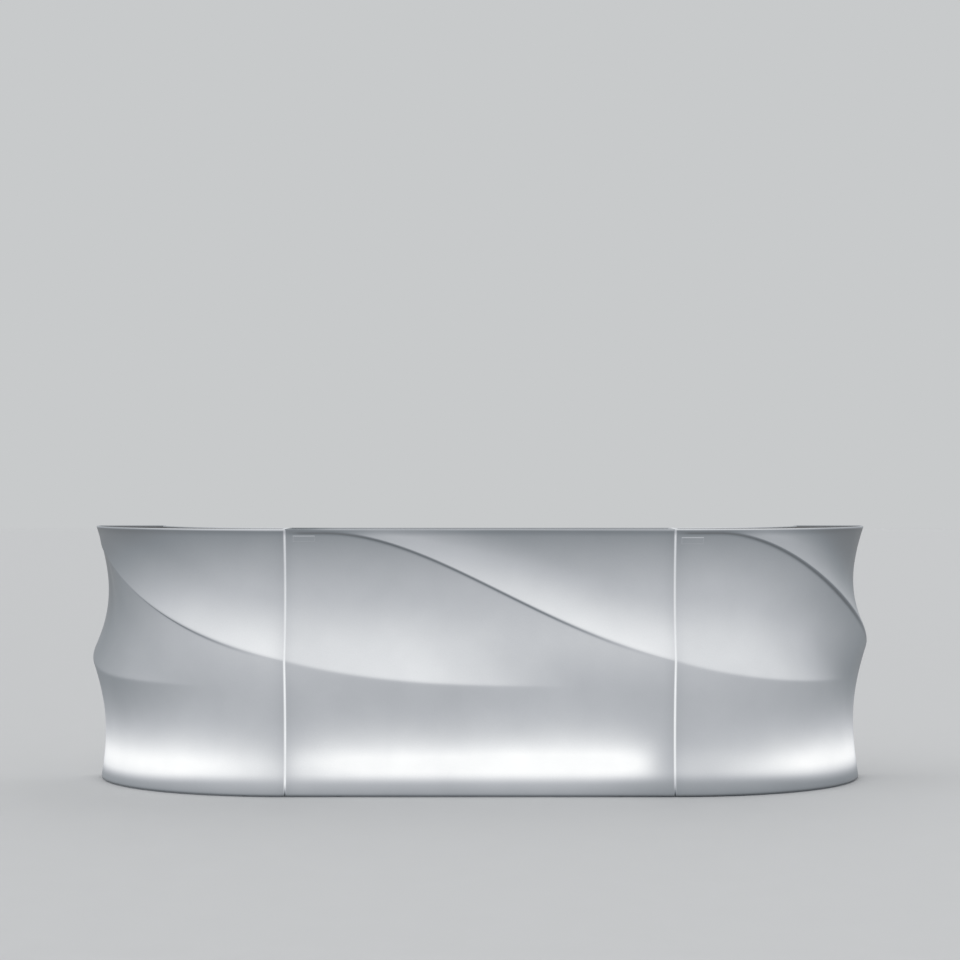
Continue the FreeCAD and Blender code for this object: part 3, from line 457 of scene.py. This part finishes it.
# The lamps as soft lines of light: strength, softness, radius from the arc line and height
LAMP_GLOW = 0.053
GLOW_SPREAD = 0.07
GLOW_RADIUS = 0.780
GLOW_HEIGHT = {"left": 0.110, "center": 0.132, "right": 0.114}
# Those of the straight module end short of the right seam and grow dimmer towards the left one
GLOW_ENDS, GLOW_POINTS = (-0.80, 0.69), 64
GLOW_RISE, GLOW_LEAST = (-0.90, -0.50), 0.35
# Degrees from a corner's seam between which its lamps stand, and over which they come to full strength
LAMP_START, LAMP_FINISH, LAMP_STEP = -3, 81, 1.2
LAMP_RISE = {"left": (-10, 34), "right": (8, 44)}
LAMP_LEAST, LAMP_GAIN = 0.24, 0.80
# Light scattered inside the body: an even level, and a brighter belt where the walls send it back
EVEN_SCATTER = 0.353
BELT_SCATTER = 0.152
BELT_HEIGHT = 0.66
BELT_SPREAD = 0.17
SCATTER_FOOT, SCATTER_HEAD = (-0.04, 0.08), (0.85, 1.28)
# Where the skin leans over the lamps it gets more light, the lower the more, and where it leans back less
OVERHANG_GAIN, OVERHANG_FALL = 0.557, 0.748
LEAN_LOSS, LEAN_SPAN = 0.5, (0.30, 0.90)
# A brighter field above each crease: strength and rise
MAIN_FIELD, TAIL_FIELD = (0.19, 0.26), (0.11, 0.32)
CREASE_SOFT = 0.003
# Shade under the lip: strength, drop below the crease, width, and the shares over which it comes and goes
LIP_SHADE, LIP_SHADE_DROP, LIP_SHADE_WIDTH = 0.8, 0.008, 0.0055
LIP_SHADE_START, LIP_SHADE_END = (0.0, 0.05), (0.60, 1.0)
# Fewer lamps are in sight towards a corner's free end, in degrees from its seam, and most so near the top
CORNER_FALL = {"left": (0, 86), "right": (9, 90.5)}
CORNER_LOSS = 0.86
UPPER_LOSS, UPPER_HEIGHTS, UPPER_TURNS = 0.45, (0.60, 1.05), (28, 66)
# Low down the nearest lamps stay in sight, and part of the scattered light is left
LAMP_NEAR_HEIGHTS = (0.50, 0.20)
SCATTER_LEFT = 0.5
# The battens below the lamps keep the lowest strip out of the direct light, less so round a corner
BATTEN_EDGE, BATTEN_DROP, BATTEN_TURNS = (0.046, 0.096), 0.018, (12, 55)
# The end wall shades a band beside a module's edge, and its round corner passes more light
END_SHADE, END_SHADE_WIDTH = 0.16, 0.028
SEAM_GROOVE, SEAM_FOOT, SEAM_WALL = (0.0012, 0.0048), (0.0, 0.06), 0.0006
SEAM_LIGHT, SEAM_FALL, SEAM_HEIGHTS = 0.78, 0.22, (0.45, 1.05)
# The rear gets what the front sends back
REAR_LIGHT, REAR_SHARES = 0.36, (0.6, 0.4)
REAR_DIRECT, REAR_MOST = 0.5, 0.8
# How squarely a face looks outward where the rear's light gives way to the front's
FRONT_FACING = (0.10, 0.45)
# The moulded rim is painted bright, with a duller line of painted shade below it
RIM_HEIGHTS, SHADE_LINE_HEIGHTS, SHADE_LINE_LOSS = (1.0925, 1.097), (1.066, 1.088), 0.35
CORNER_RIM_LIGHT, STRAIGHT_RIM_LIGHT, RIM_SHARES = 0.55, 0.30, (0.3, 0.7)
# The rim's painted light is dimmer where the straight module's crease still lies along it
DIM_RIM_LEVEL, DIM_RIM_SHARES = 0.35, (0.04, 0.14)
# The lowest strip is dimmer from the right seam on, and the bottom edge is in shade
STRIP_HEIGHTS, STRIP_PLACES, STRIP_LOSS = (0.05, 0.11), (0.3, 0.8), 0.35
FOOT_HEIGHTS, FOOT_SHARES = (0.004, 0.016), (0.35, 0.65)
# Share of the light through the skin that is left beside what the skin reflects of the studio
PASSED = 0.84


def lamp_points(module):
    """Points along the lamps of a module, each with its direction and its strength times its length."""
    spec = MODULES[module]
    if not spec["corner"]:
        places, length = np.linspace(*GLOW_ENDS, GLOW_POINTS, retstep=True)
        points = [np.array((place, ARC_Y - GLOW_RADIUS, GLOW_HEIGHT[module])) for place in places]
        weights = (GLOW_LEAST + (1 - GLOW_LEAST) * ease(*GLOW_RISE, places)) * length
        return points, [np.array((1.0, 0.0, 0.0))] * GLOW_POINTS, weights
    side = -1 if spec["turned"] else 1
    points, directions, weights = [], [], []
    for turn in np.arange(LAMP_START, LAMP_FINISH, LAMP_STEP):
        along, back = math.sin(math.radians(turn)), math.cos(math.radians(turn))
        points.append(np.array((spec["x"] + side * GLOW_RADIUS * along, ARC_Y - GLOW_RADIUS * back,
                                GLOW_HEIGHT[module])))
        directions.append(np.array((side * back, along, 0.0)))
        strength = LAMP_LEAST + LAMP_GAIN * ease(*LAMP_RISE[module], turn)
        weights.append(strength * GLOW_RADIUS * math.radians(LAMP_STEP))
    return points, directions, weights


def direct_light(module, spots, inward):
    """Light that falls straight from the lamps on the inner face of the skin."""
    total = np.zeros(len(spots))
    for point, direction, weight in zip(*lamp_points(module)):
        ray = point - spots
        distance = np.linalg.norm(ray, axis=1)
        ray /= distance[:, None]
        facing = np.clip(np.einsum("ij,ij->i", ray, inward), 0, None)
        sideways = np.sqrt(np.clip(1 - (ray @ direction) ** 2, 0, 1))
        total += facing * sideways / (distance ** 2 + GLOW_SPREAD ** 2) * weight
    return total


def plan_of(module, spots):
    """Of each spot: share along the module, way outward, degrees from the seam and run to the nearest end."""
    spec = MODULES[module]
    if not spec["corner"]:
        share = spots[:, 0] / MODULE_WIDTH + 0.5
        end = MODULE_WIDTH / 2 - np.abs(spots[:, 0]) - HALF_GAP
        return share, np.tile((0.0, -1.0), (len(spots), 1)), np.zeros(len(spots)), end
    offset = spots[:, :2] - np.array((spec["x"], ARC_Y))
    radius = np.linalg.norm(offset, axis=1)
    turn = np.degrees(np.arctan2(np.abs(offset[:, 0]), -offset[:, 1]))
    share = 1 - turn / QUARTER if spec["turned"] else turn / QUARTER
    end = np.radians(np.minimum(turn, QUARTER - turn)) * radius - HALF_GAP
    return share, offset / radius[:, None], turn, end


def field_above(field, height):
    """A field of light that starts at a crease and fades with the height above it."""
    strength, rise = field
    return strength * ease(-CREASE_SOFT, CREASE_SOFT, height) * (1 - ease(0, rise, height))


def scattered_light(module, spots, share, lean):
    """Light that comes from the white inside of the body, stronger where the skin leans over the lamps."""
    height = spots[:, 2]
    main = np.array([main_crease(module, place) for place in share])
    tail = np.array([tail_crease(place) for place in share])
    light = EVEN_SCATTER + BELT_SCATTER * np.exp(-((height - BELT_HEIGHT) / BELT_SPREAD) ** 2)
    light *= ease(*SCATTER_FOOT, height) * (1 - ease(*SCATTER_HEAD, height))
    light += np.clip(lean, 0, None) * (OVERHANG_GAIN - OVERHANG_FALL * height)
    light += crease_swell(module, share) * field_above(MAIN_FIELD, height - main)
    below_main = 1 - ease(-CREASE_SOFT, CREASE_SOFT, height - main)
    light += (1 - ease(*TAIL_FADE_SHARES, share)) * below_main * field_above(TAIL_FIELD, height - tail)
    shade = LIP_SHADE * np.exp(-((height - main + LIP_SHADE_DROP) / LIP_SHADE_WIDTH) ** 2)
    shade *= ease(*LIP_SHADE_START, share) * (1 - ease(*LIP_SHADE_END, share))
    leaning_back = np.clip(-lean, *LEAN_SPAN) - LEAN_SPAN[0]
    return light * (1 - shade) * (1 - LEAN_LOSS * leaning_back)


def in_sight(module, turn, height):
    """Share of the lamps in sight from a spot, which is all of them along the straight module."""
    if not MODULES[module]["corner"]:
        return np.ones(len(turn))
    reach = 1 - CORNER_LOSS * ease(*CORNER_FALL[module], turn)
    return reach * (1 - UPPER_LOSS * ease(*UPPER_HEIGHTS, height) * ease(*UPPER_TURNS, turn))


def lit_through(module, spots, inward):
    """Brightness of the skin at each spot, with the lamps on."""
    share, outward, turn, end = plan_of(module, spots)
    height = spots[:, 2]
    direct = LAMP_GLOW * direct_light(module, spots, inward)
    reach = in_sight(module, turn, height)
    hidden = (1 - reach) * ease(*LAMP_NEAR_HEIGHTS, height)
    front = scattered_light(module, spots, share, -inward[:, 2]) * (reach + SCATTER_LEFT * hidden)
    front += direct * (reach + hidden) * ease(*BATTEN_EDGE, height + BATTEN_DROP * ease(*BATTEN_TURNS, turn))
    front *= 1 - END_SHADE * np.exp(-np.clip(end, 0, None) / END_SHADE_WIDTH)
    seam = SEAM_LIGHT - SEAM_FALL * ease(*SEAM_HEIGHTS, height)
    groove = (1 - ease(*SEAM_GROOVE, end)) * ease(*SEAM_FOOT, height)
    front += (seam - front) * groove
    behind = REAR_LIGHT * (REAR_SHARES[0] + REAR_SHARES[1] * reach)
    behind += REAR_DIRECT * np.minimum(direct, REAR_MOST)
    facing_out = -np.einsum("ij,ij->i", outward, inward[:, :2])
    light = behind + (front - behind) * ease(*FRONT_FACING, facing_out)
    # Facing end walls at a seam light each other
    facing_walls = (end < SEAM_WALL) & (turn < QUARTER / 2)
    light = np.where(facing_walls, seam * ease(*SEAM_FOOT, height), light)
    rim = ease(*RIM_HEIGHTS, height)
    # Painted shade along a line below the rim
    light *= 1 - SHADE_LINE_LOSS * ease(*SHADE_LINE_HEIGHTS, height) * (1 - rim)
    # Painted light on the rim, dimmer on the straight module where its crease lies along it
    if MODULES[module]["corner"]:
        rim_light = CORNER_RIM_LIGHT
    else:
        rim_light = STRAIGHT_RIM_LIGHT * (DIM_RIM_LEVEL + (1 - DIM_RIM_LEVEL) * ease(*DIM_RIM_SHARES, share))
    light += (rim_light * (RIM_SHARES[0] + RIM_SHARES[1] * reach) - light) * rim
    light *= 1 - STRIP_LOSS * (1 - ease(*STRIP_HEIGHTS, height)) * ease(*STRIP_PLACES, spots[:, 0])
    return light * (FOOT_SHARES[0] + FOOT_SHARES[1] * ease(*FOOT_HEIGHTS, height))


def add_glow(item, module, gain):
    """Writes the light through the skin to the piece's own attribute, which its material reads."""
    mesh = item.data
    spots, normals = np.empty((len(mesh.vertices), 3)), np.empty((len(mesh.vertices), 3))
    mesh.vertices.foreach_get("co", spots.ravel())
    mesh.vertex_normals.foreach_get("vector", normals.ravel())
    light = lit_through(module, spots, -normals)
    if gain:
        light *= gain(module, spots)
    layer = mesh.attributes.new("glow", "FLOAT", "POINT")
    layer.data.foreach_set("value", PASSED * np.clip(light, 0, 1))


def finish_skin(item, module, gain=None):
    """Smooths a piece of the skin, lights it and lets it ride with the counter."""
    item.data.shade_smooth()
    item.data.set_sharp_from_angle(angle=math.radians(SHARP_ANGLE))
    add_glow(item, module, gain)
    item.data.materials.clear()
    item.data.materials.append(MATERIALS["translucent_polyethylene"])
    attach(item, "counter")


def moulded_body(module):
    """A body with its openings, in place of the plain one."""
    item = closed_skin(module)
    open_body(item, module)
    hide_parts(f"{module}_body")
    finish_skin(item, module)


# The bare raised plates near the top of the front


# Each plate's span in shares of its module, and its heights, then how far it stands on the skin and in it
PLATE_SHARES = {"center": (0.020, 0.079), "right": (0.0165, 0.087)}
PLATE_HEIGHTS = {"center": (1.048, 1.074), "right": (1.038, 1.068)}
PLATE_PROUD, PLATE_SUNK, PLATE_THICK = 0.0012, 0.0015, 0.0015
PLATE_COLUMNS, PLATE_ROWS = 27, 9
PLATE_EDGE_GAIN, PLATE_EDGE_ROWS = 0.18, 1.5
# How much X, Y and Z weigh in the order of a plate's faces
PLATE_FACE_ORDER = Vector((1, 10, 100))


def plate_gain(module, spots):
    """The rounded edge of a plate passes a little more light."""
    (first, last), (low, high) = PLATE_SHARES[module], PLATE_HEIGHTS[module]
    share, height = plan_of(module, spots)[0], spots[:, 2]
    columns_in = np.minimum(share - first, last - share) / (last - first) * (PLATE_COLUMNS - 1)
    rows_in = np.minimum(height - low, high - height) / (high - low) * (PLATE_ROWS - 1)
    return 1 + PLATE_EDGE_GAIN * (np.minimum(columns_in, rows_in) < PLATE_EDGE_ROWS)


def blank_plate(module):
    """A bare plate that follows the front, raised above it, with its edge sunk in the skin."""
    heights = np.linspace(*PLATE_HEIGHTS[module], PLATE_ROWS)
    columns = []
    for column, share in enumerate(np.linspace(*PLATE_SHARES[module], PLATE_COLUMNS)):
        depths, levels = front_rows(module, share)
        raised = np.full(PLATE_ROWS, PLATE_PROUD)
        raised[[0, -1]] = -PLATE_SUNK
        if column in (0, PLATE_COLUMNS - 1):
            raised[:] = -PLATE_SUNK
        columns.append(places_on(module, share, REACH + np.interp(heights, levels, depths) + raised, heights))
    work = bmesh.new()
    add_grid(work, np.stack(columns, axis=1))
    bmesh.ops.solidify(work, geom=work.faces[:], thickness=PLATE_THICK)
    bmesh.ops.recalc_face_normals(work, faces=work.faces)
    # Solidify leaves the faces of the edge in another order each run, so all are put in order of place
    work.faces.sort(key=lambda face: face.calc_center_median().dot(PLATE_FACE_ORDER))
    finish_skin(shown(f"{module}_blank_plate", work), module, plate_gain)


# Materials


def linear(code):
    """An sRGB colour code as linear light."""
    parts = [int(code[i:i + 2], 16) / 255 for i in (0, 2, 4)]
    return [p / 12.92 if p <= 0.04045 else ((p + 0.055) / 1.055) ** 2.4 for p in parts] + [1.0]


def add_node(tree, kind, sets=None, links=None, stops=()):
    """Adds a node: settings and input values by name, links by input from (node, output), colour stops."""
    node = tree.nodes.new(kind)
    for key, value in (sets or {}).items():
        if isinstance(key, int) or key in node.inputs:
            node.inputs[key].default_value = value
        else:
            setattr(node, key, value)
    for key, (source, output) in (links or {}).items():
        tree.links.new(source.outputs[output], node.inputs[key])
    while len(stops) > 2 and len(node.color_ramp.elements) < len(stops):
        node.color_ramp.elements.new(0.5)
    for index, (place, code) in enumerate(stops):
        node.color_ramp.elements[index].position = place
        node.color_ramp.elements[index].color = linear(code)
    return node


MM_PER_METRE = 1000
# Broad unevenness of a finish
CLOUD_MM = 170
# Levels between which nearly all of a noise lies
NOISE_SPAN = (0.31, 0.69)


def base_material(name, metallic, roughness, dark, light, grain_mm, stretch=(1, 1, 1), relief_mm=0.0,
                  rough_span=0.08, shine=0.5, cloud_share=0.62):
    """A finish with a grain: two close colours, a little play in the gloss and a shallow relief."""
    material = bpy.data.materials.new(name)
    material.use_nodes = True
    tree = material.node_tree
    shader = tree.nodes["Principled BSDF"]
    shader.inputs["Metallic"].default_value = metallic
    shader.inputs["Specular IOR Level"].default_value = shine
    where = add_node(tree, "ShaderNodeTexCoord")
    scaled = add_node(tree, "ShaderNodeMapping", {"Scale": stretch}, {"Vector": (where, "Object")})
    grain = add_node(tree, "ShaderNodeTexNoise", {"Scale": MM_PER_METRE / grain_mm, "Detail": 4.0,
                                                   "Roughness": 0.6}, {"Vector": (scaled, "Vector")})
    cloud = add_node(tree, "ShaderNodeTexNoise", {"Scale": MM_PER_METRE / CLOUD_MM, "Detail": 3.0},
                     {"Vector": (where, "Object")})
    mixed = add_node(tree, "ShaderNodeMix", {"Factor": cloud_share},
                     {"A": (grain, "Fac"), "B": (cloud, "Fac")})
    spread = add_node(tree, "ShaderNodeMapRange", {"From Min": NOISE_SPAN[0], "From Max": NOISE_SPAN[1]},
                      {"Value": (mixed, "Result")})
    colours = add_node(tree, "ShaderNodeValToRGB", links={"Fac": (spread, "Result")},
                       stops=[(0.0, dark), (1.0, light)])
    gloss = add_node(tree, "ShaderNodeMapRange",
                     {"To Min": roughness - rough_span, "To Max": roughness + rough_span},
                     {"Value": (spread, "Result")})
    tree.links.new(colours.outputs["Color"], shader.inputs["Base Color"])
    tree.links.new(gloss.outputs["Result"], shader.inputs["Roughness"])
    if relief_mm:
        relief = add_node(tree, "ShaderNodeBump", {"Strength": 0.5, "Distance": relief_mm / MM_PER_METRE},
                          {"Height": (grain, "Fac")})
        tree.links.new(relief.outputs["Normal"], shader.inputs["Normal"])
    return material


# Colour of the light by how much of it the skin passes: bluish where it is faint, white where it is strong
LIT_WHITE = "FFFFFD"
GLOW_STOPS = [(0.0, "000000"), (0.10, "54595E"), (0.35, "9D9FA3"), (0.70, "D9DADB"), (1.0, LIT_WHITE)]
# Broad unevenness of the moulding's wall
WALL_CLOUD_MM = 200
# Mottling of the sintered powder and its share of the play, drawn coarser than the real one, so that it shows
SPECKLE_MM, SPECKLE_SHARE = 4, 0.4
# Least and most of the light that passes where the wall is thick and where it is thin
WALL_PLAY = (0.94, 1.06)


def lit_polyethylene():
    """Rotomoulded translucent polyethylene: a satin skin, full of light from within and faintly mottled."""
    material = base_material("translucent_polyethylene", metallic=0.0, roughness=0.46, dark="6C6F72",
                             light="727578", grain_mm=2.5, relief_mm=0.12, shine=0.3)
    tree = material.node_tree
    shader = tree.nodes["Principled BSDF"]
    glow = add_node(tree, "ShaderNodeAttribute", {"attribute_name": "glow"})
    where = add_node(tree, "ShaderNodeTexCoord")
    cloud = add_node(tree, "ShaderNodeTexNoise", {"Scale": MM_PER_METRE / WALL_CLOUD_MM, "Detail": 2.0},
                     {"Vector": (where, "Object")})
    speckle = add_node(tree, "ShaderNodeTexNoise", {"Scale": MM_PER_METRE / SPECKLE_MM, "Detail": 3.0},
                       {"Vector": (where, "Object")})
    uneven = add_node(tree, "ShaderNodeMix", {"Factor": SPECKLE_SHARE},
                      {"A": (cloud, "Fac"), "B": (speckle, "Fac")})
    wall = add_node(tree, "ShaderNodeMapRange",
                    {"From Min": NOISE_SPAN[0], "From Max": NOISE_SPAN[1],
                     "To Min": WALL_PLAY[0], "To Max": WALL_PLAY[1]}, {"Value": (uneven, "Result")})
    level = add_node(tree, "ShaderNodeMath", {"operation": "MULTIPLY"},
                     {0: (glow, "Fac"), 1: (wall, "Result")})
    light = add_node(tree, "ShaderNodeValToRGB", links={"Fac": (level, "Value")}, stops=GLOW_STOPS)
    tree.links.new(light.outputs["Color"], shader.inputs["Emission Color"])
    shader.inputs["Emission Strength"].default_value = 1.0
    return material


def opal_tube():
    """Opal polycarbonate lamp tube: even, soft white light along its whole length."""
    material = base_material("opal_tube", metallic=0.0, roughness=0.3, dark="E8E9EA", light="F2F3F3",
                             grain_mm=3.0)
    shader = material.node_tree.nodes["Principled BSDF"]
    shader.inputs["Emission Color"].default_value = linear(LIT_WHITE)
    shader.inputs["Emission Strength"].default_value = 1.0
    return material


# Grains and streaks of 0.5 to 3 mm are drawn coarser than the real ones, so that they show
MATERIALS = {
    "translucent_polyethylene": lit_polyethylene(),
    "opal_tube": opal_tube(),
    # Compact laminate: near black, a fine pressed grain that keeps its highlights dull and broad
    "dark_laminate": base_material(
        "dark_laminate", metallic=0.0, roughness=0.55, dark="131417", light="191B1E", grain_mm=0.8,
        relief_mm=0.03, shine=0.2),
    # Brushed stainless sheet: streaks along the counter that draw its highlights out sideways
    "stainless_sheet": base_material(
        "stainless_sheet", metallic=1.0, roughness=0.32, dark="C4C6C7", light="CFD0D1", grain_mm=3.0,
        stretch=(0.02, 1, 1), relief_mm=0.01, rough_span=0.035, cloud_share=0.15),
    # Powder-coated steel: mid grey with the slight ripple of the baked coat
    "powder_coated_steel": base_material(
        "powder_coated_steel", metallic=0.0, roughness=0.45, dark="8B8E91", light="93969A", grain_mm=1.6,
        relief_mm=0.04),
    # Rolled aluminium sheet: paler than the stainless, satin, with short streaks from the rolls
    "aluminium_sheet": base_material(
        "aluminium_sheet", metallic=1.0, roughness=0.38, dark="CFD0D1", light="D8D9DA", grain_mm=2.5,
        stretch=(0.04, 1, 1), relief_mm=0.01, rough_span=0.035, cloud_share=0.15),
    # White enamelled lamp steel: smooth, warm white, half gloss
    "white_steel": base_material(
        "white_steel", metallic=0.0, roughness=0.30, dark="DFDFDC", light="E8E8E5", grain_mm=2.0),
    # Moulded white polycarbonate of the lampholders: a shade duller than the steel
    "white_plastic": base_material(
        "white_plastic", metallic=0.0, roughness=0.35, dark="DDDDD9", light="E7E7E3", grain_mm=2.0),
    # Moulded black polyamide of inlet and rocker: satin, with a fine spark-eroded grain
    "black_plastic": base_material(
        "black_plastic", metallic=0.0, roughness=0.38, dark="262627", light="323233", grain_mm=0.7,
        relief_mm=0.05),
    # Glass-filled polyamide feet: matt black, a little rough to the eye
    "foot_polyamide": base_material(
        "foot_polyamide", metallic=0.0, roughness=0.55, dark="2C2C2D", light="39393A", grain_mm=0.9,
        relief_mm=0.08),
    # Turned brass inserts: warm yellow, with the lathe's fine rings
    "brass": base_material(
        "brass", metallic=1.0, roughness=0.30, dark="B8954F", light="C6A35C", grain_mm=0.5,
        stretch=(0.05, 0.05, 1)),
    # Zinc-plated steel fasteners: cool grey, slightly cloudy
    "zinc_steel": base_material(
        "zinc_steel", metallic=1.0, roughness=0.35, dark="C2C4C6", light="CDCFD0", grain_mm=0.8),
}

for part in frame["record"]["subparts"]:
    node = frame["nodes"][part["node"]]
    node.data.materials.clear()
    node.data.materials.append(MATERIALS[part["material_slot"]])

for module in MODULES:
    moulded_body(module)
for module in PLATE_SHARES:
    blank_plate(module)

# Floor, light and camera


FLOOR_HALF = 60
BACKDROP, FILL, FILL_STRENGTH = "C8CACB", "FDFEFF", 0.78
# Soft lights: place they shine from and power
SOFT_LIGHTS = {"key": ((-4.0, -5.0, 8.0), 0.8), "rear": ((3.0, 6.0, 6.0), 0.4)}
SOFT_ANGLE = 70
CAMERA_PLACE = (0, -11.45, 1.30)
SENSOR_MM, FRAME_PIXELS, FOCUS_PIXELS = 36, 960, 2695


def stage_floor():
    """The plain pale floor, with the faint mottling of cast concrete."""
    work = bmesh.new()
    bmesh.ops.create_grid(work, x_segments=1, y_segments=1, size=FLOOR_HALF)
    floor = shown("floor", work)
    floor.data.materials.append(base_material("pale_concrete", metallic=0.0, roughness=0.75, dark="BEBFC0",
                                              light="C1C2C3", grain_mm=40))


def soft_light(name, place, power):
    """A wide, even light from one side of the studio, aimed at the counter."""
    lamp = bpy.data.lights.new(name, "SUN")
    lamp.angle = math.radians(SOFT_ANGLE)
    lamp.energy = power
    item = bpy.data.objects.new(name, lamp)
    bpy.context.scene.collection.objects.link(item)
    item.location = place
    item.rotation_euler = (-Vector(place)).to_track_quat("-Z", "Y").to_euler()


def studio():
    """Even light from all round; the pale backdrop is what the camera and every reflection see."""
    world = bpy.data.worlds.new("studio")
    bpy.context.scene.world = world
    world.use_nodes = True
    tree = world.node_tree
    backdrop = tree.nodes["Background"]
    backdrop.inputs["Color"].default_value = linear(BACKDROP)
    fill = add_node(tree, "ShaderNodeBackground", {"Color": linear(FILL), "Strength": FILL_STRENGTH})
    rays = add_node(tree, "ShaderNodeLightPath")
    bounced = add_node(tree, "ShaderNodeMath", {"operation": "MAXIMUM"},
                       {0: (rays, "Is Glossy Ray"), 1: (rays, "Is Transmission Ray")})
    seen = add_node(tree, "ShaderNodeMath", {"operation": "MAXIMUM"},
                    {0: (rays, "Is Camera Ray"), 1: (bounced, "Value")})
    choice = add_node(tree, "ShaderNodeMixShader", links={"Fac": (seen, "Value"), 1: (fill, "Background"),
                                                          2: (backdrop, "Background")})
    tree.links.new(choice.outputs["Shader"], tree.nodes["World Output"].inputs["Surface"])
    for name, (place, power) in SOFT_LIGHTS.items():
        soft_light(name, place, power)
    bpy.context.scene.view_settings.view_transform = "Standard"


def camera():
    """A level camera in front of the middle, with the view angle of the photograph."""
    data = bpy.data.cameras.new("camera")
    data.sensor_width = SENSOR_MM
    data.lens = FOCUS_PIXELS / FRAME_PIXELS * SENSOR_MM
    item = bpy.data.objects.new("camera", data)
    bpy.context.scene.collection.objects.link(item)
    item.location = CAMERA_PLACE
    item.rotation_euler = (math.pi / 2, 0, 0)
    bpy.context.scene.camera = item


stage_floor()
studio()
camera()
